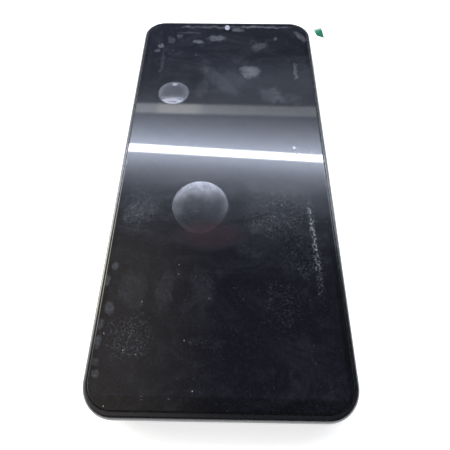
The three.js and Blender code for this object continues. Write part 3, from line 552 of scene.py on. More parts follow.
def lowerBubble(paint, across, along, reach):
    # a painted reflection under dust specks: painted highlights along the top arch and the left and right
    # sides, dimming to dark at the foot, speckled with real dust
    inside = reach.ramp(1.02, 0.97)
    # painted highlight: the rim, brighter towards the top
    rim = reach.ramp(0.72, 0.99) * inside
    # painted highlights along the top arch, the left side and the right side
    paintedArchHighlight = (along + across * 0.04).larger(0) ** 2.3
    left = (across * -0.86 + along * 0.30).ramp(0.30, 0.95) * along.ramp(-0.72, -0.2)
    right = (across * 0.9 + along * 0.2).ramp(0.48, 1.0) * along.ramp(-0.6, 0.0)
    # painted reflection: the disc dims towards the foot
    body = along.ramp(-0.75, 0.1)
    lumps = paint.noise(0.30, detail=3, roughness=0.65).ramp(0.3, 0.7, 0.62, 1.34)
    grains = paint.cells(1.05).ramp(0.22, 0.08) * paint.noise(0.28, detail=2).ramp(0.40, 0.58)
    dusty = grains * along.ramp(-0.95, -0.1, 0.25, 1.0) * (0.10 + across.ramp(-0.1, 0.8) * 0.26)
    # the painted reflection, broken up by lumps; the grains are real dust specks
    soft = body * 0.014 + paintedArchHighlight * 0.44 + left * 0.050 + right * 0.035
    return inside * (0.006 + soft * lumps + dusty) + rim * (0.010 + along.ramp(-0.4, 0.7) * 0.020)


def filmPaint():
    # the film carries haze, dust and scratches, and the painted highlights of its bubbles
    paint = newMaterial("hazyFilm", roughness=0.2, ior=1.45, specular=0.3)
    x, y, _ = paint.axes()
    drift = paint.noise(0.25, detail=2, roughness=0.6)
    bendX = (paint.noise(0.45, detail=3, roughness=0.7) - 0.5) * 5.5
    bendY = (paint.noise(0.41, detail=3, roughness=0.7) - 0.5) * 5.5
    warpX = x + bendX
    warpY = y + bendY
    fine = paint.noise(1.6, detail=3, roughness=0.7)
    streaks = paint.noise(0.9, detail=3, roughness=0.75, place=paint.place(0.15, (1.6, 0.28, 1)))
    # broad, faint wipe marks and cloudy handling marks
    wipes = paint.noise(0.05, detail=4, roughness=0.68, distortion=0.9, place=paint.place(0.9, (1, 1.7, 1)))
    clouds = paint.noise(0.16, detail=4, roughness=0.72, distortion=0.4)
    haze = wipes.ramp(0.46, 0.74) * 0.010 + clouds.ramp(0.5, 0.78) * streaks.ramp(0.3, 0.7, 0.5, 1.2) * 0.016
    haze = haze * y.ramp(-45, -12, 0.42, 1.0) + 0.0007
    # patches where the film has not settled on the glass
    patches = 0
    for px, py, halfWidth, halfHeight, turn, strength in filmMarks["patches"]:
        cosine, sine = math.cos(math.radians(turn)), math.sin(math.radians(turn))
        bend = min(1.0, (halfWidth + halfHeight) / 7)  # small patches keep a rounder edge
        offX = x - px + bendX * bend
        offY = y - py + bendY * bend
        across = (offX * cosine + offY * sine) / halfWidth
        along = (offY * cosine - offX * sine) / halfHeight
        inside = (1 - (across * across + along * along)).ramp(-0.25, 0.7)
        patches = inside * strength + patches
    patches = patches * fine.ramp(0.25, 0.7, 0.3, 1.25) * clouds.ramp(0.3, 0.6, 0.6, 1.2)
    # short fine scratches, in clusters
    hatch = 0
    for turn, scale, width in ((0.6, 0.55, 0.012), (-0.8, 0.7, 0.012), (1.4, 0.6, 0.012), (0.9, 0.22, 0.006)):
        lines = paint.noise(scale, detail=2, roughness=0.4, place=paint.place(turn, (9.0, 0.9, 1)))
        hatch = (lines - 0.5).size().ramp(width, width / 6) * fine.ramp(0.48, 0.62) + hatch
    clusters = 0
    for px, py, halfWidth, halfHeight, strength in filmMarks["scratches"]:
        across = (warpX - px) / halfWidth
        along = (warpY - py) / halfHeight
        clusters = (1 - (across * across + along * along)).ramp(-0.2, 0.9) * strength + clusters
    scratches = hatch * (clusters + 0.012)
    # dust caught under the film
    dots, pick = paint.cellsAndPick(0.30)
    dust = dots.ramp(0.070, 0.02) * (pick > 0.72) * 0.30
    tiny, tinyPick = paint.cellsAndPick(1.1)
    grain = tiny.ramp(0.17, 0.05) * (tinyPick > 0.74) * drift.ramp(0.46, 0.66) * 0.20
    # a line of specks down the right side
    line = (x - 28.9 + (y + 16) * 0.033 - (paint.noise(0.5) - 0.5) * 1.9).size().ramp(1.3, 0.1)
    span = y.ramp(-42, -36, 0.25, 1) * y.ramp(-14, -19) * y.ramp(-52, -44)
    chain = line * span * fine.ramp(0.48, 0.66) * 0.24
    # bubbles: dust specks, with painted highlights and a painted dimmer foot standing in for their
    # reflections
    bubbleDustAndHighlights = 0
    for bubble, look in zip(filmMarks["bubbles"], (upperBubble, lowerBubble)):
        along = (y - bubble["y"]) / bubble["along"]
        across = (x - bubble["x"]) / bubble["across"] * (1 + bubble["point"] * along.smaller(0) * -1)
        reach = (across * across + along * along) ** 0.5
        bubbleDustAndHighlights = look(paint, across, along, reach) + bubbleDustAndHighlights
    bubbleDustAndHighlights = bubbleDustAndHighlights * fine.ramp(0.2, 0.75, 0.88, 1.12)
    cover = haze + patches + scratches + dust + grain + chain + bubbleDustAndHighlights
    # painted reflection: a red tint, with extra cover, at the foot of the lower bubble
    paintedRedReflection = (1 - (((x + 4) / 14) ** 2 + ((y + 28.5) / 6.5) ** 2)).ramp(0.0, 0.9) * 0.013
    # the bubbles, their painted highlights included, take a bluer tint
    tint = paint.mixColor((bubbleDustAndHighlights * 3).clamped(), (0.62, 0.66, 0.76), (0.66, 0.69, 0.80))
    tint = paint.mixColor((paintedRedReflection * 50).clamped(), tint, (0.55, 0.16, 0.20))
    color = paint.mixColor((dust * 2 + chain * 2 + grain * 2).clamped(), tint, (0.9, 0.92, 0.95))
    finish(paint, color=color, alpha=(cover + paintedRedReflection).clamped().smaller(0.9))
    return paint


def makeFilm():
    low, high = boxOf("protective_film")
    glassLow, glassHigh = boxOf("cover_glass")
    edge = 0.45
    thickness = 0.15
    base = low.z
    corner = 7.3
    bm = roundedBlock(
        (glassLow.x + edge, glassLow.y + edge, base),
        (glassHigh.x - edge, glassHigh.y - edge, base + thickness),
        corner,
    )
    tabLow = Vector((33, high.y - 11.6, base))
    tab = roundedBlock(tabLow, (high.x, high.y, base + thickness), 3.2)
    mesh = bpy.data.meshes.new("tab")
    tab.to_mesh(mesh)
    tab.free()
    sheet = bpy.data.meshes.new("sheet")
    bm.to_mesh(sheet)
    bm.free()
    joined = uniteMeshes(sheet, mesh)
    bm = bmesh.new()
    bm.from_mesh(joined)
    step = 1.2
    count = int((high.y - low.y) / step)
    for i in range(1, count):
        everything = bm.verts[:] + bm.edges[:] + bm.faces[:]
        bmesh.ops.bisect_plane(bm, geom=everything, plane_co=(0, low.y + i * step, 0), plane_no=(0, 1, 0))
    for i in range(1, int((high.x - low.x) / step)):
        everything = bm.verts[:] + bm.edges[:] + bm.faces[:]
        bmesh.ops.bisect_plane(bm, geom=everything, plane_co=(low.x + i * step, 0, 0), plane_no=(1, 0, 0))
    for bubble in filmMarks["bubbles"]:
        near = [
            e
            for e in bm.edges
            if all(bubbleReach(bubble, v.co) < 1.25 for v in e.verts)
            and abs(e.verts[0].co.z - e.verts[1].co.z) < 1e-4
        ]
        bmesh.ops.subdivide_edges(bm, edges=near, cuts=3, use_grid_fill=True)
    for vertex in bm.verts:
        for bubble in filmMarks["bubbles"]:
            reach = bubbleReach(bubble, vertex.co)
            if reach < 1:
                vertex.co.z += bubble["height"] * (1 - reach * reach)
    finishPiece("clearFilm", bm, filmPaint(), "phone_body", ["protective_film"], sharpAngle=50)


def bubbleReach(bubble, point):
    # 0 at the middle of a bubble and 1 on its edge
    along = (point.y - bubble["y"]) / bubble["along"]
    across = (point.x - bubble["x"]) / bubble["across"] * (1 - bubble["point"] * min(along, 0))
    return math.hypot(across, along)


def uniteMeshes(first, second, operation="UNION"):
    firstObject = bpy.data.objects.new("first", first)
    secondObject = bpy.data.objects.new("second", second)
    for made in (firstObject, secondObject):
        bpy.context.scene.collection.objects.link(made)
    boolean = firstObject.modifiers.new("join", "BOOLEAN")
    boolean.operation = operation
    boolean.solver = "EXACT"
    boolean.object = secondObject
    graph = bpy.context.evaluated_depsgraph_get()
    result = bpy.data.meshes.new_from_object(firstObject.evaluated_get(graph))
    for made in (firstObject, secondObject):
        bpy.data.objects.remove(made)
    return result


def glassPaint():
    paint = newMaterial("blackGlass", roughness=0.4, coat=1.0, coatRoughness=0.012, ior=1.45, specular=0.0)
    x, y, _ = paint.axes()
    # the lit area is a shade lighter than the black print round it
    margin = ((x.size() - 34.4).larger((y - 1.15).size() - 77.4)).ramp(-0.15, 0.15)
    notch = ((x * x + (y - 78) * (y - 78)) ** 0.5).ramp(3.8, 4.1)
    lit = (1 - margin) * notch
    cloud = paint.noise(0.03, detail=2)
    panel = paint.mixColor(cloud, (0.0030, 0.0030, 0.0046), (0.0046, 0.0047, 0.0066))
    finish(paint, color=paint.mixColor(lit, (0.0008, 0.0008, 0.001), panel))
    return paint


def makeGlass():
    low, high = boxOf("cover_glass")
    roll = 0.3
    bm = roundedBlock(low, (high.x, high.y, high.z - roll), 7.75, steps=14)
    rollOver(bm, flatFace(bm), roll, 0.42, steps=5)
    finishPiece("coverGlass", bm, glassPaint(), "phone_body", ["cover_glass"])


def frontLensReflectionPaint():
    paint = newMaterial("frontLens", roughness=0.08, coat=1.0, coatRoughness=0.02, ior=1.6)
    ring = paint.noise(4.0, detail=2)
    # painted reflection: light lavender tones over the lens face
    finish(paint, color=paint.mixColor(ring, (0.36, 0.35, 0.45), (0.50, 0.50, 0.60)))
    # painted glow, though the lens is no lamp
    finish(paint, glow=(0.74, 0.72, 0.86), glowStrength=0.10)
    return paint


frontLens = {"middle": (0.0, 77.5), "halfWidth": 1.15, "halfHeight": 1.75, "rise": 0.006}


def makeFrontLens():
    # the front camera's window, set flush in the glass; its light face is a painted reflection with a faint
    # painted glow
    glassTop = boxOf("cover_glass")[1].z
    x, y = frontLens["middle"]
    bm = bmesh.new()
    steps = 32
    matrix = Matrix.Translation((x, y, glassTop - 0.05)) @ Matrix.Diagonal(
        (frontLens["halfWidth"], frontLens["halfHeight"], 1, 1)
    )
    made = bmesh.ops.create_circle(bm, cap_ends=True, radius=1, segments=steps, matrix=matrix)
    face = made["verts"][0].link_faces[0]
    grown = bmesh.ops.extrude_face_region(bm, geom=[face])
    top = [v for v in grown["geom"] if isinstance(v, bmesh.types.BMVert)]
    bmesh.ops.translate(bm, vec=(0, 0, 0.05 + frontLens["rise"]), verts=top)
    finishPiece("frontLens", bm, frontLensReflectionPaint(), "phone_body")


def printPaint():
    paint = newMaterial("greenPrint", roughness=0.6, specular=0.15)
    x, y, _ = paint.axes()
    fade = (x * -0.5 + y - 53.6).ramp(-1.6, 4.6)
    ink = paint.noise(1.2, detail=3)
    deep = paint.mixColor(ink, (0.002, 0.13, 0.055), (0.006, 0.19, 0.09))
    finish(paint, color=paint.mixColor(fade * 0.75, deep, (0.10, 0.46, 0.30)))
    finish(paint, alpha=fade.ramp(0.15, 1.0, 1.0, 0.16))
    return paint


def makePrint():
    node = "pull_tab_print"
    bm = fromNode(node)
    finishPiece("pullTabPrint", bm, printPaint(), "phone_body", [node], clean=False)


makeGlass()
makeFrontLens()
makeFilm()
makePrint()
print("glass and film are made")


# ---- shapes that the hard pieces share ----


def addBlock(bm, low, high):
    low, high = Vector(low), Vector(high)
    matrix = Matrix.Translation((low + high) / 2) @ Matrix.Diagonal((*(high - low), 1))
    bmesh.ops.create_cube(bm, size=1, matrix=matrix)


def addRod(bm, start, end, radius, steps=32, endRadius=None):
    start, end = Vector(start), Vector(end)
    turn = (end - start).to_track_quat("Z", "Y").to_matrix().to_4x4()
    bmesh.ops.create_cone(
        bm,
        cap_ends=True,
        segments=steps,
        radius1=radius,
        radius2=radius if endRadius is None else endRadius,
        depth=(end - start).length,
        matrix=Matrix.Translation((start + end) / 2) @ turn,
    )


def rod(start, end, radius, steps=32, endRadius=None):
    bm = bmesh.new()
    addRod(bm, start, end, radius, steps, endRadius)
    return bm


def bar(axis, low, high, corner, steps=8):
    # a block whose four edges along one axis are rounded
    turns = {"X": Matrix.Rotation(math.pi / 2, 4, "Y"), "Y": Matrix.Rotation(math.pi / 2, 4, "X")}
    turn = turns[axis]
    middle = (Vector(low) + Vector(high)) / 2
    size = turn.inverted().to_3x3() @ (Vector(high) - Vector(low))
    half = Vector([abs(c) / 2 for c in size])
    bm = roundedBlock(-half, half, corner, steps)
    bmesh.ops.transform(bm, matrix=Matrix.Translation(middle) @ turn, verts=bm.verts)
    return bm


def combine(first, second, operation):
    meshes = []
    for bm in (first, second):
        bmesh.ops.recalc_face_normals(bm, faces=bm.faces)
        meshes.append(bpy.data.meshes.new("part"))
        bm.to_mesh(meshes[-1])
        bm.free()
    result = uniteMeshes(*meshes, operation)
    made = bmesh.new()
    made.from_mesh(result)
    return made


def carve(bm, *tools):
    for tool in tools:
        bm = combine(bm, tool, "DIFFERENCE")
    return bm


def turned(profile, middle, axis="Z", steps=48):
    # a round piece: radius and place along the axis, turned about a line through middle
    bm = bmesh.new()
    points = [bm.verts.new((radius, 0, along)) for radius, along in profile]
    edges = [bm.edges.new(pair) for pair in zip(points, points[1:])]
    if profile[0][0] > 0:
        edges.append(bm.edges.new((points[-1], points[0])))
    bmesh.ops.spin(
        bm,
        geom=points + edges,
        cent=(0, 0, 0),
        axis=(0, 0, 1),
        angle=2 * math.pi,
        steps=steps,
        use_merge=True,
    )
    bmesh.ops.remove_doubles(bm, verts=bm.verts, dist=1e-4)
    turn = Matrix.Rotation(math.pi / 2, 4, "X") if axis == "Y" else Matrix.Identity(4)
    bmesh.ops.transform(bm, matrix=Matrix.Translation(middle) @ turn, verts=bm.verts)
    return bm


# ---- paints for the hard pieces ----


def shellPaint(name, dark, light, roughness, coat=0.5):
    # moulded or lacquered shell: faint flecks, rubbed edges and a slight orange peel
    paint = newMaterial(name, coat=coat, coatRoughness=0.08, ior=1.5)
    fleck = paint.noise(0.8, detail=5, roughness=0.7)
    rub = paint.noise(3.0, detail=2, place=paint.place(0, (1, 0.15, 1)))
    peel = paint.noise(1.6, detail=2)
    scuff = paint.noise(0.12, detail=6, roughness=0.8).ramp(0.60, 0.72)
    finish(paint, color=paint.mixColor(fleck.ramp(0.35, 0.7), dark, light))
    finish(paint, roughness=roughness + rub * 0.12 + scuff * 0.08, normal=paint.bump(peel, 0.03, 0.02))
    return paint


def metalPaint(name, dark, light, roughness):
    # rolled or brushed metal with stains and fine grain lines
    paint = newMaterial(name, metallic=1.0, anisotropic=0.4)
    lines = paint.noise(0.9, detail=4, roughness=0.6, place=paint.place(0, (0.4, 8, 8)))
    stain = paint.noise(0.18, detail=5, roughness=0.65)
    pits = paint.cells(2.4).ramp(0.16, 0.04) * paint.noise(0.5, detail=1).ramp(0.5, 0.7)
    color = paint.mixColor((lines * 0.5 + stain * 0.6).clamped(), dark, light)
    finish(paint, color=paint.mixColor(pits * 0.6, color, tuple(c * 0.4 for c in dark)))
    finish(paint, roughness=roughness + stain * 0.14 - lines * 0.06, normal=paint.bump(lines, 0.15, 0.01))
    return paint


def plasticPaint(name, dark, light, roughness):
    # moulded plastic with a spark-eroded grain
    paint = newMaterial(name, ior=1.46)
    tiny = paint.cells(2.2)
    wear = paint.noise(0.2, detail=6, roughness=0.7)
    finish(paint, color=paint.mixColor(wear.ramp(0.35, 0.7), dark, light))
    finish(paint, roughness=roughness + wear * 0.15, normal=paint.bump(tiny, 0.25, 0.03))
    return paint


def boardPaint():
    # green solder resist over copper tracks, with vias and tinned pads
    paint = newMaterial("circuitBoard", coat=0.5, coatRoughness=0.15, specular=0.5)
    x, y, _ = paint.axes()
    grid = 0.9
    cellX, cellY = (x / grid).fraction(), (y / grid).fraction()
    region = paint.cells(0.22, output="Color")
    pick, other, _ = paint.axes(region)
    trackX = ((x / 0.42).fraction() - 0.5).size().ramp(0.26, 0.2)
    trackY = ((y / 0.42).fraction() - 0.5).size().ramp(0.26, 0.2)
    tracks = trackX * (pick > 0.55) + trackY * (pick < 0.35)
    viaReach = (((cellX - 0.5) * grid) ** 2 + ((cellY - 0.5) * grid) ** 2) ** 0.5
    lone = paint.cells(0.9, output="Color")
    chance, _, _ = paint.axes(lone)
    vias = viaReach.ramp(0.17, 0.13) * (chance > 0.6)
    holes = viaReach.ramp(0.08, 0.06) * (chance > 0.6)
    tone = paint.noise(0.3, detail=3)
    resist = paint.mixColor(tone, (0.004, 0.055, 0.028), (0.007, 0.085, 0.045))
    overTracks = paint.mixColor((tracks * 0.8).clamped(), resist, (0.016, 0.15, 0.07))
    ringed = paint.mixColor(vias, overTracks, (0.72, 0.58, 0.28))
    finish(paint, color=paint.mixColor(holes, ringed, (0.01, 0.01, 0.01)), metallic=vias * 0.9)
    finish(paint, roughness=0.34 + tone * 0.1 - vias * 0.08, normal=paint.bump(tracks + vias, 0.3, 0.02))
    return paint


def flexPaint():
    # amber cover film over parallel copper tracks
    paint = newMaterial("flexCircuit", coat=0.4, coatRoughness=0.2)
    x, y, _ = paint.axes()
    tracks = ((x / 0.34).fraction() - 0.5).size().ramp(0.3, 0.22)
    tone = paint.noise(0.25, detail=4)
    film = paint.mixColor(tone, (0.33, 0.12, 0.018), (0.45, 0.18, 0.035))
    finish(paint, color=paint.mixColor(tracks * 0.7, film, (0.62, 0.27, 0.06)), roughness=0.32 + tone * 0.12)
    finish(paint, normal=paint.bump(tracks, 0.35, 0.02))
    return paint


def batteryPaint():
    # dark pouch foil with a paler blank label and creases near the sealed ends
    low, high = boxOf("battery")
    middle = (low + high) / 2
    paint = newMaterial("batteryWrap", coat=0.3, coatRoughness=0.25)
    x, y, _ = paint.axes()
    labelEdge = ((x - middle.x).size() - 24).larger((y - middle.y).size() - 32)
    label = labelEdge.ramp(0.1, -0.1)
    border = label * labelEdge.ramp(-1.3, -1.2)
    stripe = ((y - high.y + 15) / 1.6).size().ramp(1.05, 0.95) * label
    crease = paint.noise(0.15, detail=6, roughness=0.65, distortion=0.8)
    ends = (y - middle.y).size().ramp(33, 39)
    foil = paint.mixColor(crease, (0.018, 0.019, 0.022), (0.035, 0.036, 0.041))
    paper = paint.mixColor(paint.noise(0.6, detail=4), (0.055, 0.056, 0.062), (0.075, 0.077, 0.084))
    marked = paint.mixColor(stripe, paint.mixColor(border, paper, (0.16, 0.165, 0.17)), (0.05, 0.16, 0.26))
    finish(paint, color=paint.mixColor(label, foil, marked), roughness=0.36 + crease * 0.15 - label * 0.08)
    finish(paint, normal=paint.bump(crease * (ends * 1.4 + 0.25), 0.4, 0.12))
    return paint


def foamPaint(name, dark, light, scale=3.2):
    paint = newMaterial(name, roughness=0.92, specular=0.2)
    pores = paint.cells(scale)
    soft = paint.noise(0.5, detail=4)
    finish(paint, color=paint.mixColor((pores * 1.4).clamped(), dark, light), roughness=0.86 + soft * 0.1)
    finish(paint, normal=paint.bump(pores, 0.7, 0.06))
    return paint


def chipPaint():
    # moulded package: matt black and finely grained
    paint = newMaterial("chipPackage", ior=1.45)
    grain = paint.noise(4.0, detail=5, roughness=0.7)
    broad = paint.noise(0.3, detail=2)
    finish(paint, color=paint.mixColor(grain, (0.010, 0.010, 0.011), (0.022, 0.022, 0.024)))
    finish(paint, roughness=0.5 + broad * 0.15, normal=paint.bump(grain, 0.2, 0.02))
    return paint


def castPaint():
    # die-cast plate with machined swirls
    paint = newMaterial("castPlate", metallic=1.0)
    grain = paint.noise(1.8, detail=5, roughness=0.7)
    swirl = paint.add(
        "ShaderNodeTexWave",
        {"wave_type": "RINGS", "rings_direction": "Z"},
        {"Vector": paint.place(), "Scale": 1.1, "Distortion": 1.2, "Detail": 2.0},
        output=1,
    )
    worn = (grain * 0.6 + swirl * 0.3).clamped()
    finish(paint, color=paint.mixColor(worn, (0.12, 0.125, 0.135), (0.22, 0.225, 0.24)))
    finish(paint, roughness=0.40 + grain * 0.15 - swirl * 0.05)
    finish(paint, normal=paint.bump(grain + swirl * 0.4, 0.2, 0.02))
    return paint


def backlightPaint():
    # white reflector with a fine prism texture and a grid of lighter dots
    paint = newMaterial("backlight", roughness=0.35, coat=0.3)
    x, y, _ = paint.axes()
    prisms = ((x + y) / 0.5).fraction()
    dots = paint.cells(1.6, randomness=0.0)
    cloud = paint.noise(0.08, detail=3)
    color = paint.mixColor(cloud, (0.70, 0.72, 0.75), (0.80, 0.82, 0.84))
    finish(paint, color=paint.mixColor(dots.ramp(0.25, 0.18) * 0.5, color, (0.9, 0.92, 0.95)))
    finish(paint, normal=paint.bump(prisms, 0.15, 0.02), roughness=0.3 + cloud * 0.1)
    return paint


def panelPaint():
    # layered display cell: dark polariser with a fine sub-pixel stripe
    paint = newMaterial("displayCell", coat=0.7, coatRoughness=0.06)
    x, y, _ = paint.axes()
    stripes = (x / 0.12).fraction()
    cloud = paint.noise(0.05, detail=3)
    dark = paint.mixColor(cloud, (0.006, 0.006, 0.009), (0.011, 0.011, 0.015))
    finish(paint, color=paint.mixColor(stripes.ramp(0.4, 0.6) * 0.4, dark, (0.014, 0.013, 0.022)))
    finish(paint, roughness=0.2 + cloud * 0.08)
    return paint


def graphitePaint():
    paint = newMaterial("graphite", metallic=0.7)
    crinkle = paint.noise(0.5, detail=7, roughness=0.7, distortion=0.5)
    flakes = paint.cells(3.0, output="Color")
    pick, _, _ = paint.axes(flakes)
    mixed = crinkle * 0.7 + pick * 0.3
    finish(paint, color=paint.mixColor(mixed, (0.020, 0.021, 0.023), (0.055, 0.056, 0.060)))
    finish(paint, roughness=0.38 + pick * 0.2, normal=paint.bump(crinkle, 0.25, 0.05))
    return paint


def meshPaint(name, dark, light, pitch):
    # woven wire: round wires over and under each other, painted lighter on the crowns as highlight and darker
    # in the dips as shade
    paint = newMaterial(name, metallic=1.0)
    x, y, z = paint.axes()
    warp = (x * (2 * math.pi / pitch)).wave()
    weft = ((y + z) * (2 * math.pi / pitch)).wave()
    weaveHeightAndShade = (warp * weft).ramp(-1, 1)
    # painted highlight and shade: the colour follows the weave's height
    finish(paint, color=paint.mixColor(weaveHeightAndShade, dark, light), roughness=0.35 + weaveHeightAndShade * 0.1)
    finish(paint, normal=paint.bump(weaveHeightAndShade, 0.8, 0.04))
    return paint


def lampPaint():
    # yellow phosphor under a clear dome
    paint = newMaterial("flashLamp", coat=0.8, coatRoughness=0.05)
    grain = paint.noise(5.0, detail=3)
    finish(paint, color=paint.mixColor(grain, (0.80, 0.62, 0.16), (0.92, 0.78, 0.30)))
    finish(paint, roughness=0.3 + grain * 0.1)
    return paint


def opticPaint(name, dark, light):
    # coated lens element, whose tint drifts across it
    paint = newMaterial(name, coat=1.0, coatRoughness=0.01, ior=1.7)
    tint = paint.noise(0.5, detail=1)
    finish(paint, color=paint.mixColor(tint.ramp(0.3, 0.7), dark, light), roughness=0.03 + tint * 0.03)
    return paint


glossBlack = shellPaint("glossBlack", (0.004, 0.004, 0.005), (0.008, 0.008, 0.009), 0.20)
keyBlack = shellPaint("keyBlack", (0.008, 0.008, 0.009), (0.015, 0.015, 0.017), 0.28, coat=0.3)
steel = metalPaint("brightSteel", (0.42, 0.43, 0.45), (0.66, 0.67, 0.69), 0.24)
darkMetal = metalPaint("darkMetal", (0.07, 0.072, 0.078), (0.16, 0.165, 0.175), 0.36)
brass = metalPaint("brass", (0.45, 0.30, 0.10), (0.72, 0.53, 0.22), 0.28)
gold = metalPaint("goldContact", (0.68, 0.46, 0.14), (0.90, 0.68, 0.28), 0.2)
tin = metalPaint("tinned", (0.55, 0.56, 0.58), (0.78, 0.79, 0.80), 0.3)
blackPlastic = plasticPaint("blackPlastic", (0.012, 0.012, 0.013), (0.024, 0.024, 0.026), 0.48)
capacitorBrown = plasticPaint("capacitorBrown", (0.16, 0.09, 0.045), (0.28, 0.17, 0.09), 0.45)
rubber = foamPaint("rubber", (0.010, 0.010, 0.010), (0.022, 0.022, 0.022), 6.0)
foam = foamPaint("blackFoam", (0.006, 0.006, 0.006), (0.018, 0.018, 0.018))
chipBlack = chipPaint()
lensBlack = shellPaint("lensBlack", (0.004, 0.004, 0.005), (0.009, 0.009, 0.011), 0.3, coat=0.2)
print("paints are mixed")


# ---- frame and covers ----

frameCut = {
    "corner": 9.5,
    "rollHeight": 2.6,
    "rollInset": 1.4,
    "rollSteps": 9,
    "pocket": 1.55,  # how far in from the outline each pocket lies
    "displayPocket": 2.6,
    "cavity": 3.0,
    "gap": 0.15,
}


def inset(low, high, amount, bottom, top):
    return (low.x + amount, low.y + amount, bottom), (high.x - amount, high.y - amount, top)


def makeFrame():
    low, high = boxOf("side_frame")
    roll = frameCut["rollHeight"]
    bottom, top = (low.x, low.y, low.z + roll), (high.x, high.y, high.z - roll)
    bm = roundedBlock(bottom, top, frameCut["corner"], steps=16)
    for upwards in (True, False):
        bm.normal_update()
        rollOver(bm, flatFace(bm, upwards), roll, frameCut["rollInset"], frameCut["rollSteps"])
    glassLow, glassHigh = boxOf("cover_glass")
    gap = 0.2
    plateLow = boxOf("mid_plate")[0]
    ledge = glassLow.z - 0.3
    backLedge = boxOf("back_cover")[1].z + 0.25
    tools = [
        roundedBlock(*inset(glassLow, glassHigh, -gap, ledge, high.z + 1), 7.95),
        roundedBlock(*inset(low, high, frameCut["displayPocket"], plateLow.z, ledge + 0.25), 6.9),
        roundedBlock(*inset(low, high, frameCut["cavity"], backLedge - 0.25, plateLow.z + 0.25), 6.5),
        roundedBlock(*inset(low, high, frameCut["pocket"], low.z - 1, backLedge), 7.95),
    ]
    slitLow, slitHigh = boxOf("earpiece_mesh")
    slit = bmesh.new()
    slitStart = (slitLow.x - 0.2, slitLow.y - 0.12, ledge - 0.1)
    addBlock(slit, slitStart, (slitHigh.x + 0.2, slitHigh.y + 0.06, high.z + 1))
    tools.append(slit)
    skin = high.x - 0.8
    for key in ("power_key", "volume_key"):
        keyLow, keyHigh = boxOf(key)
        half = 0.95 + frameCut["gap"]
        middle = (keyLow + keyHigh) / 2
        reach = (keyHigh.y - keyLow.y) / 2 - 0.6 + frameCut["gap"]
        start = (skin - 1, middle.y - reach, middle.z - half)
        tools.append(bar("X", start, (high.x + 1, middle.y + reach, middle.z + half), 0.7))
    bracketLow, bracketHigh = boxOf("side_key_bracket")
    bay = bmesh.new()
    addBlock(bay, (bracketLow.x - 0.15, bracketLow.y - 0.5, 2.7), (skin, bracketHigh.y + 0.5, 5.5))
    tools.append(bay)
    tools += trayOpenings(low)
    tools += endOpenings(low, high)
    bm = carve(bm, *tools)
    finishPiece("sideFrame", bm, glossBlack, "phone_body", ["side_frame"], sharpAngle=32)


def trayOpenings(low):
    # a stepped slot for the card tray's face, its seal and its blade, and the ejector's channel
    trayLow, trayHigh = boxOf("sim_tray")
    sealLow, sealHigh = boxOf("sim_tray_seal")
    rodLow, rodHigh = boxOf("sim_eject_rod")
    gap = frameCut["gap"]
    faceInside = low.x + 1.1 + 0.2
    blade = 7.45 + gap
    bladeMiddle = (sealLow.y + sealHigh.y) / 2
    channelZ = (rodLow.z + rodHigh.z) / 2
    outside = low.x - 1
    faceStart = (outside, trayLow.y - gap, trayLow.z - gap)
    faceEnd = (faceInside, trayHigh.y + gap, trayHigh.z + gap)
    loose = 0.15
    sealStart = (outside, sealLow.y - loose, sealLow.z - loose)
    sealEnd = (faceInside + 0.7, sealHigh.y + loose, sealHigh.z + loose)
    return [
        bar("X", faceStart, faceEnd, (trayHigh.z - trayLow.z) / 2),
        bar("X", sealStart, sealEnd, 0.4),
        bar("X", (outside, bladeMiddle - blade, 3.3), (low.x + 4, bladeMiddle + blade, 4.4), 0.3),
        rod((outside, rodLow.y + 0.45, channelZ), (low.x + 4, rodLow.y + 0.45, channelZ), 0.55, 16),
    ]


ports = {
    "height": 4.0,
    "usbCorner": 1.6,
    "jackX": -20,
    "jackRadius": 2.65,
    "micX": -8,
    "micRadius": 0.45,
    "firstHole": 13,
    "holePitch": 2.2,
    "holes": 6,
    "holeRadius": 0.65,
    "flare": 0.18,  # chamfer round each mouth
}


def endOpenings(low, high):
    shellLow, shellHigh = boxOf("usb_port_shell")
    gap = frameCut["gap"]
    z = ports["height"]
    outside, inside = low.y - 1, low.y + 4
    start = (shellLow.x - gap, outside, shellLow.z - gap)
    tools = [bar("Y", start, (shellHigh.x + gap, inside, shellHigh.z + gap), ports["usbCorner"], 10)]
    places = [(ports["jackX"], ports["jackRadius"]), (ports["micX"], ports["micRadius"])]
    for i in range(ports["holes"]):
        places.append((ports["firstHole"] + i * ports["holePitch"], ports["holeRadius"]))
    for x, radius in places:
        tools.append(rod((x, outside, z), (x, inside, z), radius, 32))
        flare = ports["flare"]
        mouth = (x, low.y - 0.01, z)
        tools.append(rod(mouth, (x, low.y + flare, z), radius + flare, 32, endRadius=radius))
    topX = -ports["micX"]
    tools.append(rod((topX, high.y - 4, z), (topX, high.y + 1, z), ports["micRadius"], 20))
    return tools


def coverPaint():
    # dark glossy back with a very fine diagonal pinstripe under the lacquer
    paint = newMaterial("backShell", coat=1.0, coatRoughness=0.05, ior=1.5, metallic=0.25)
    x, y, _ = paint.axes()
    stripe = ((x + y * 0.6) / 0.55).fraction().ramp(0.35, 0.65)
    sweep = (y * 0.012 + x * 0.01 + 0.5).clamped()
    fleck = paint.cells(5.0, output="Color")
    pick, _, _ = paint.axes(fleck)
    deep = paint.mixColor(sweep, (0.008, 0.009, 0.012), (0.016, 0.018, 0.024))
    lit = paint.mixColor(stripe * 0.35, deep, (0.028, 0.031, 0.040))
    smudge = paint.noise(0.05, detail=6, roughness=0.7, distortion=0.6).ramp(0.5, 0.75)
    finish(paint, color=paint.mixColor((pick > 0.93) * 0.4, lit, (0.08, 0.085, 0.10)))
    finish(paint, roughness=0.30 + smudge * 0.12)
    return paint


island = {"corner": 5.0, "roll": 0.3, "seat": 0.55, "wall": 1.0, "openingInset": 0.9}


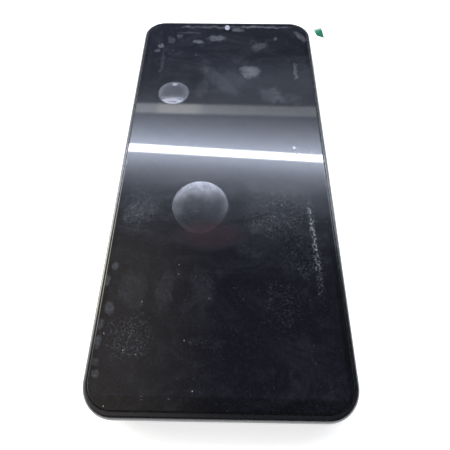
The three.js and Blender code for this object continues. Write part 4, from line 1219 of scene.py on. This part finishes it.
def makeBackCover():
    low, high = boxOf("back_cover")
    islandLow, islandHigh = boxOf("camera_surround")
    roll = 0.4
    bm = roundedBlock((low.x, low.y, low.z + roll), high, 7.8, steps=16)
    rollOver(bm, flatFace(bm, upwards=False), roll, 0.55, steps=6)
    shrink = island["openingInset"]
    opening = inset(islandLow, islandHigh, shrink, low.z - 1, high.z + 1)
    bm = carve(bm, roundedBlock(*opening, island["corner"] - shrink))
    finishPiece("backCover", bm, coverPaint(), "phone_body", ["back_cover"], sharpAngle=32)


def lensPlaces():
    # middle and opening radius of each rear lens, from the pieces behind the window
    found = {}
    for name, node, opening in (
        ("main", "main_camera_barrel", 3.7),
        ("wide", "wide_camera", 2.9),
        ("macro", "macro_camera", 2.2),
        ("flash", "flash_led", 1.6),
    ):
        middle = middleOf(node)
        found[name] = (middle.x, middle.y, opening)
    return found


def makeIsland():
    low, high = boxOf("camera_surround")
    roll = island["roll"]
    base = 0.0
    bm = roundedBlock((low.x, low.y, low.z + roll), (high.x, high.y, base), island["corner"], steps=12)
    rollOver(bm, flatFace(bm, upwards=False), roll, roll, steps=5)
    neckInset = 1.1
    neck = roundedBlock(*inset(low, high, neckInset, base - 0.4, high.z), island["corner"] - neckInset)
    bm = combine(bm, neck, "UNION")
    wall = island["wall"]
    seat = inset(low, high, wall, low.z - 1, low.z + island["seat"])
    tools = [roundedBlock(*seat, island["corner"] - wall)]
    for x, y, opening in lensPlaces().values():
        tools.append(rod((x, y, low.z - 1), (x, y, high.z + 1), opening, 48))
    bm = carve(bm, *tools)
    node = "camera_surround"
    finishPiece("cameraSurround", bm, glossBlack, "phone_body", [node], sharpAngle=32)


def windowPaint():
    # black print on the inside of the glass, clear over each lens, with a thin bright ring round it
    paint = newMaterial("cameraWindow", coat=1.0, coatRoughness=0.01, ior=1.5, roughness=0.15, specular=0.5)
    x, y, _ = paint.axes()
    clear = 0
    ring = 0
    for middleX, middleY, opening in lensPlaces().values():
        reach = ((x - middleX) ** 2 + (y - middleY) ** 2) ** 0.5
        clear = reach.ramp(opening - 0.52, opening - 0.6) + clear
        ring = (reach - (opening - 0.35)).size().ramp(0.14, 0.08) + ring
    dust = paint.cells(1.3).ramp(0.1, 0.04) * 0.3
    color = paint.mixColor(ring.clamped(), (0.002, 0.002, 0.003), (0.10, 0.10, 0.11))
    finish(paint, color=paint.mixColor(dust, color, (0.3, 0.3, 0.32)), alpha=1 - clear.clamped() * 0.93)
    return paint


def makeWindow():
    low, high = boxOf("camera_window")
    roll = 0.12
    bm = roundedBlock((low.x, low.y, low.z + roll), high, 3.85, steps=10)
    rollOver(bm, flatFace(bm, upwards=False), roll, 0.14, steps=4)
    finishPiece("cameraWindow", bm, windowPaint(), "phone_body", ["camera_window"])


def makeLenses():
    places = lensPlaces()
    violet = opticPaint("violetOptic", (0.010, 0.008, 0.030), (0.03, 0.012, 0.06))
    green = opticPaint("greenOptic", (0.004, 0.016, 0.016), (0.010, 0.035, 0.028))
    windowTop = boxOf("camera_window")[1].z
    for name, (x, y, opening) in places.items():
        # a thin metal collar stands in each opening
        outer, inner = opening - 0.08, opening - 0.42
        low, high = windowTop + 0.12, 0.7
        profile = [(inner, low + 0.12), (inner + 0.12, low), (outer, low), (outer, high), (inner, high)]
        finishPiece(name + "Collar", turned(profile, (x, y, 0)), darkMetal, "phone_body")
    x, y, _ = places["main"]
    low, high = boxOf("main_camera_barrel")
    front = low.z
    # stepped light baffle round the main lens, in one turned profile
    profile = [
        (0, front + 0.75),
        (1.5, front + 0.7),
        (1.6, front + 0.55),
        (1.85, front + 0.55),
        (1.9, front + 0.38),
        (2.15, front + 0.38),
        (2.2, front + 0.18),
        (2.5, front + 0.18),
        (2.58, front),
        (3.05, front),
        (3.2, front + 0.15),
        (3.2, front + 1.1),
        (3.08, front + 1.2),
        (3.2, front + 1.3),
        (3.2, high.z),
        (0, high.z),
    ]
    barrel = turned(profile, (x, y, 0))
    finishPiece("mainBarrel", barrel, lensBlack, "focus_barrel", ["main_camera_barrel"])
    dome = [(0, front + 0.30), (0.5, front + 0.33), (1.0, front + 0.44)]
    dome += [(1.45, front + 0.66), (1.45, front + 0.72), (0, front + 0.78)]
    finishPiece("mainOptic", turned(dome, (x, y, 0)), violet, "focus_barrel")
    small = (("wide", "wide_camera", 1.6, green), ("macro", "macro_camera", 0.9, violet))
    for name, node, radius, paint in small:
        x, y, _ = places[name]
        seat = boxOf(node)[0].z + 0.38
        profile = [(0, seat - 0.28), (radius * 0.5, seat - 0.22), (radius * 0.85, seat - 0.06)]
        profile += [(radius, seat), (0, seat)]
        finishPiece(name + "Optic", turned(profile, (x, y, 0)), paint, "phone_body")
        corners = ((0.62, 0.26), (0.72, 0.3), (0.8, 0.2), (0.7, 0.1))
        ring = [(radius * out, seat - up) for out, up in corners]
        finishPiece(name + "Ring", turned(ring, (x, y, 0)), darkMetal, "phone_body")
    x, y, opening = places["flash"]
    profile = [(0, 0.20)]
    for i in range(1, 6):
        profile += [(i * 0.22, 0.34), (i * 0.22 + 0.02, 0.20)]
    profile += [(1.14, 0.95), (0, 0.95)]
    diffuser = newMaterial("flashDiffuser", coat=1.0, coatRoughness=0.03, ior=1.5, alpha=0.6)
    frost = diffuser.noise(3.0, detail=4)
    finish(diffuser, color=diffuser.mixColor(frost, (0.86, 0.84, 0.74), (0.96, 0.95, 0.90)))
    finish(diffuser, roughness=0.15 + frost * 0.2)
    finishPiece("flashDiffuser", turned(profile, (x, y, 0)), diffuser, "phone_body")


makeFrame()
makeBackCover()
makeIsland()
makeWindow()
makeLenses()
print("frame, covers and rear cameras are made")


# ---- keys, tray and sockets ----


def softened(name, node, paint, body, width=0.12, segments=3):
    # a CAD shape with its hard edges rounded
    bm = fromNode(node)
    softenEdges(bm, width, segments=segments)
    finishPiece(name, bm, paint, body, [node], sharpAngle=32, clean=False)


def makeKey(name, node):
    # a flanged cap with rolled edges and a shallow dish along its face
    low, high = boxOf(node)
    rim = 0.6
    flangeFace = high.x - 1.6
    cap = bar(
        "X",
        (flangeFace - 0.2, low.y + rim, low.z + 0.3),
        (high.x - 0.25, high.y - rim, high.z - 0.3),
        0.6,
        steps=8,
    )
    cap.normal_update()
    face = max(cap.faces, key=lambda f: f.normal.x * 100 + f.calc_center_median().x)
    for thickness, depth in ((0.05, 0.12), (0.08, 0.08), (0.12, 0.05)):
        bmesh.ops.inset_region(cap, faces=[face], thickness=thickness, depth=depth, use_even_offset=True)
        cap.normal_update()
    bmesh.ops.inset_region(cap, faces=[face], thickness=0.15, depth=-0.03, use_even_offset=True)
    flange = bar("X", (low.x, low.y, low.z), (flangeFace, high.y, high.z), 0.4, steps=4)
    bm = combine(cap, flange, "UNION")
    finishPiece(name, bm, keyBlack, node, [node], sharpAngle=32)


def makeSocketTrim():
    # contact pads on the connector's tongue, and the metal ring and springs in the headphone socket
    low, high = boxOf("usb_port_tongue")
    pads = bmesh.new()
    for i in range(12):
        x = -2.75 + i * 0.5
        for z in (low.z, high.z):
            addBlock(pads, (x - 0.14, low.y + 0.25, z - 0.02), (x + 0.14, low.y + 4.2, z + 0.02))
    finishPiece("tonguePads", pads, gold, "phone_body")
    plate = bmesh.new()
    addBlock(plate, (low.x - 0.04, low.y + 3.2, low.z - 0.06), (high.x + 0.04, low.y + 4.6, high.z + 0.06))
    softenEdges(plate, 0.04)
    finishPiece("tongueCollar", plate, steel, "phone_body")
    mouth = boxOf("headphone_jack")[0].y
    middle = (ports["jackX"], 0, ports["height"])
    ring = [(1.78, -mouth - 0.02), (1.9, -mouth + 0.16), (2.45, -mouth + 0.16), (2.52, -mouth - 0.02)]
    finishPiece("jackRing", turned(ring, middle, axis="Y"), steel, "phone_body")
    springs = bmesh.new()
    for angle in (0.4, 2.2, 4.2):
        x = middle[0] + 1.5 * math.cos(angle)
        z = middle[2] + 1.5 * math.sin(angle)
        addBlock(springs, (x - 0.2, mouth + 1.5, z - 0.12), (x + 0.2, mouth + 5.5, z + 0.12))
    finishPiece("jackSprings", springs, gold, "phone_body")


def makeSocketShells():
    low, high = boxOf("usb_port_shell")
    wall = 0.3
    corner = (high.z - low.z) / 2 - 0.06
    bm = bar("Y", low, high, corner, steps=10)
    inner = bar(
        "Y",
        (low.x + wall, low.y - 1, low.z + wall),
        (high.x - wall, high.y - 0.6, high.z - wall),
        corner - wall,
        steps=10,
    )
    bm = carve(bm, inner)
    finishPiece("usbShell", bm, steel, "phone_body", ["usb_port_shell"], sharpAngle=32)


makeKey("powerKey", "power_key")
makeKey("volumeKey", "volume_key")
softened("cardTray", "sim_tray", keyBlack, "card_tray", 0.08, 2)
makeSocketShells()
makeSocketTrim()
print("keys, tray and sockets are made")


# ---- boards ----

boardMix = {
    # rectangles of small parts on each board's back side: x span, y span, pitch and height
    "mainFields": [
        ((14.0, 31.5), (34.0, 43.0), 1.7, 0.55),
        ((-32.5, -29.5), (45.0, 54.0), 1.5, 0.45),
        ((8.8, 12.4), (50.5, 60.5), 1.3, 0.4),
        ((-14.0, -8.5), (34.0, 38.0), 1.4, 0.5),
        ((4.5, 12.5), (34.0, 38.2), 1.5, 0.5),
    ],
    "subFields": [
        ((-15.5, -7.0), (-74.5, -66.5), 1.7, 0.5),
        ((-32.0, -25.0), (-75.0, -66.5), 1.8, 0.5),
        ((-4.0, 3.5), (-72.5, -66.5), 1.5, 0.45),
    ],
    "chips": [
        ("main", (22.0, 27.5), (36.5, 41.5), 0.8),
        ("main", (-6.0, -3.2), (34.2, 37.4), 0.6),
        ("sub", (-14.5, -9.5), (-72.5, -68.0), 0.8),
    ],
}


def makeBoardParts(name, node, fields, chips):
    # rows of capacitors and resistors with tinned ends, and a few packages, on the back of a board
    low, high = boxOf(node)
    base = low.z
    bodies = bmesh.new()
    ends = bmesh.new()
    count = 0
    for (x0, x1), (y0, y1), pitch, height in fields:
        columns, rows = int((x1 - x0) / pitch), int((y1 - y0) / pitch)
        for column in range(columns + 1):
            for row in range(rows + 1):
                count += 1
                if count % 5 == 3 or count % 7 == 5:
                    continue
                x, y = x0 + column * pitch, y0 + row * pitch
                if any(a - 0.8 < x < b + 0.8 and c - 0.8 < y < d + 0.8 for (a, b), (c, d), _ in chips):
                    continue
                halfX, halfY = (0.5, 0.25) if count % 2 else (0.25, 0.5)
                tall = height * (0.7 + 0.3 * (count % 3) / 2)
                addBlock(bodies, (x - halfX, y - halfY, base - tall), (x + halfX, y + halfY, base - 0.005))
                tip = 0.16
                for sign in (-1, 1):
                    middle = Vector((x, y, 0))
                    along = Vector((halfX - tip / 2, 0, 0)) if count % 2 else Vector((0, halfY - tip / 2, 0))
                    middle += along * sign
                    spanX = tip / 2 + 0.01 if count % 2 else halfX + 0.015
                    spanY = halfY + 0.015 if count % 2 else tip / 2 + 0.01
                    addBlock(
                        ends,
                        (middle.x - spanX, middle.y - spanY, base - tall - 0.015),
                        (middle.x + spanX, middle.y + spanY, base - 0.002),
                    )
    finishPiece(name + "Capacitors", bodies, capacitorBrown, "phone_body")
    finishPiece(name + "Terminals", ends, tin, "phone_body")
    packages = bmesh.new()
    for (a, b), (c, d), height in chips:
        addBlock(packages, (a, c, base - height), (b, d, base - 0.05))
    softenEdges(packages, 0.08)
    finishPiece(name + "Packages", packages, chipBlack, "phone_body")
    legs = bmesh.new()
    for (a, b), (c, d), height in chips:
        for i in range(int((d - c) / 0.5)):
            y = c + 0.3 + i * 0.5
            for x in (a, b):
                addBlock(legs, (x - 0.25, y - 0.1, base - 0.16), (x + 0.25, y + 0.1, base - 0.005))
    finishPiece(name + "Legs", legs, tin, "phone_body")


def makeConnectors():
    # board-to-board connectors under the ends of the flexes
    housing = bmesh.new()
    pins = bmesh.new()
    for node, end in (("battery_flex", "high"), ("board_link_flex", "high"), ("board_link_flex", "low")):
        low, high = boxOf(node)
        y = high.y - 1.6 if end == "high" else low.y + 1.6
        x0, x1 = low.x + 0.8, high.x - 0.8
        top = 4.5
        addBlock(housing, (x0, y - 1.1, top - 0.55), (x1, y + 1.1, top))
        for i in range(int((x1 - x0 - 0.6) / 0.4)):
            x = x0 + 0.4 + i * 0.4
            for side in (y - 1.1, y + 1.1):
                addBlock(pins, (x - 0.08, side - 0.12, top - 0.3), (x + 0.08, side + 0.12, top - 0.02))
    softenEdges(housing, 0.08)
    finishPiece("connectorHousings", housing, blackPlastic, "phone_body")
    finishPiece("connectorPins", pins, gold, "phone_body")


def makeShieldMarks():
    # pressed dimples along two sides of the rim of each shield can, whose edges are rounded
    for name, node in (("processorShield", "processor_shield"), ("radioShield", "radio_shield")):
        low, high = boxOf(node)
        bm = fromNode(node)
        softenEdges(bm, 0.15, segments=3)
        finishPiece(name, bm, steel, "phone_body", [node], sharpAngle=32, clean=False)
        dimples = bmesh.new()
        count = int((high.x - low.x - 2) / 1.8)
        for i in range(count + 1):
            x = low.x + 1 + i * (high.x - low.x - 2) / count
            for y in (low.y, high.y):
                side = 0.04 if y == high.y else -0.04
                z = low.z + 0.9
                addRod(dimples, (x, y - side, z), (x, y + side, z), 0.28, 10, endRadius=0.12)
        finishPiece(name + "Dimples", dimples, steel, "phone_body")


mainChips = [(x, y, h) for where, x, y, h in boardMix["chips"] if where == "main"]
subChips = [(x, y, h) for where, x, y, h in boardMix["chips"] if where == "sub"]
makeBoardParts("main", "main_board", boardMix["mainFields"], mainChips)
makeBoardParts("sub", "sub_board", boardMix["subFields"], subChips)
makeConnectors()
makeShieldMarks()
print("boards are filled")


# ---- the other inside pieces: rounded copies of the CAD shapes ----


def makeBattery():
    low, high = boxOf("battery")
    roll = 0.9
    bm = roundedBlock((low.x, low.y, low.z + roll), (high.x, high.y, high.z - roll), 1.5, steps=6)
    for upwards in (True, False):
        bm.normal_update()
        rollOver(bm, flatFace(bm, upwards), roll, 0.7, steps=6)
    finishPiece("batteryPouch", bm, batteryPaint(), "phone_body", ["battery"])


def softenedScrews():
    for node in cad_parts:
        if "_screw_" in node:
            softened(node.replace("_", ""), node, steel, "phone_body", 0.06, 2)


makeBattery()
softenedScrews()
for name, node, paint, slot, width in (
    ("motorCan", "vibration_motor_can", steel, "steel", 0.2),
    ("mainHousing", "main_camera_housing", darkMetal, "dark_alloy", 0.15),
    ("earpieceCase", "earpiece_receiver", blackPlastic, "black_plastic", 0.2),
    ("speakerCase", "loudspeaker_box", blackPlastic, "black_plastic", 0.25),
    ("upperBracket", "upper_bracket", blackPlastic, "black_plastic", 0.12),
    ("lowerBracket", "lower_bracket", blackPlastic, "black_plastic", 0.12),
    ("processorChip", "processor_chip", chipBlack, "chip", 0.08),
    ("wideCamera", "wide_camera", lensBlack, "lens", 0.1),
    ("macroCamera", "macro_camera", lensBlack, "lens", 0.1),
    ("frontCamera", "front_camera", lensBlack, "lens", 0.1),
    ("jackBody", "headphone_jack", blackPlastic, "black_plastic", 0.1),
    ("lowerMicrophone", "bottom_microphone", brass, "brass", 0.1),
):
    softened(name, node, paint, "phone_body", width, 2)
softened("motorWeight", "vibration_motor_rotor", brass, "motor_rotor", 0.1, 2)
print("inside pieces are rounded")

nodePaints = {
    "display_adhesive": foam,
    "back_adhesive": foam,
    "battery_adhesive": foam,
    "lcd_panel": panelPaint(),
    "backlight_unit": backlightPaint(),
    "display_flex": flexPaint(),
    "graphite_sheet": graphitePaint(),
    "earpiece_mesh": meshPaint("earpieceWeave", (0.10, 0.10, 0.11), (0.50, 0.50, 0.52), 0.3),
    "loudspeaker_mesh": meshPaint("speakerWeave", (0.05, 0.05, 0.055), (0.30, 0.30, 0.32), 0.4),
    "mid_plate": castPaint(),
    "main_board": boardPaint(),
    "sim_reader": steel,
    "sim_tray_seal": rubber,
    "sim_eject_rod": steel,
    "sim_eject_lever": steel,
    "flash_led": lampPaint(),
    "antenna_coax": rubber,
    "usb_port_tongue": chipBlack,
    "side_key_bracket": steel,
}
nodePaints["sub_board"] = nodePaints["main_board"]
for flex in ("battery_flex", "board_link_flex", "side_key_flex"):
    nodePaints[flex] = nodePaints["display_flex"]
for node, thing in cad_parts.items():
    if thing.hide_render:
        continue
    thing.data.materials.clear()
    thing.data.materials.append(nodePaints[node].owner)
print("CAD pieces are painted")
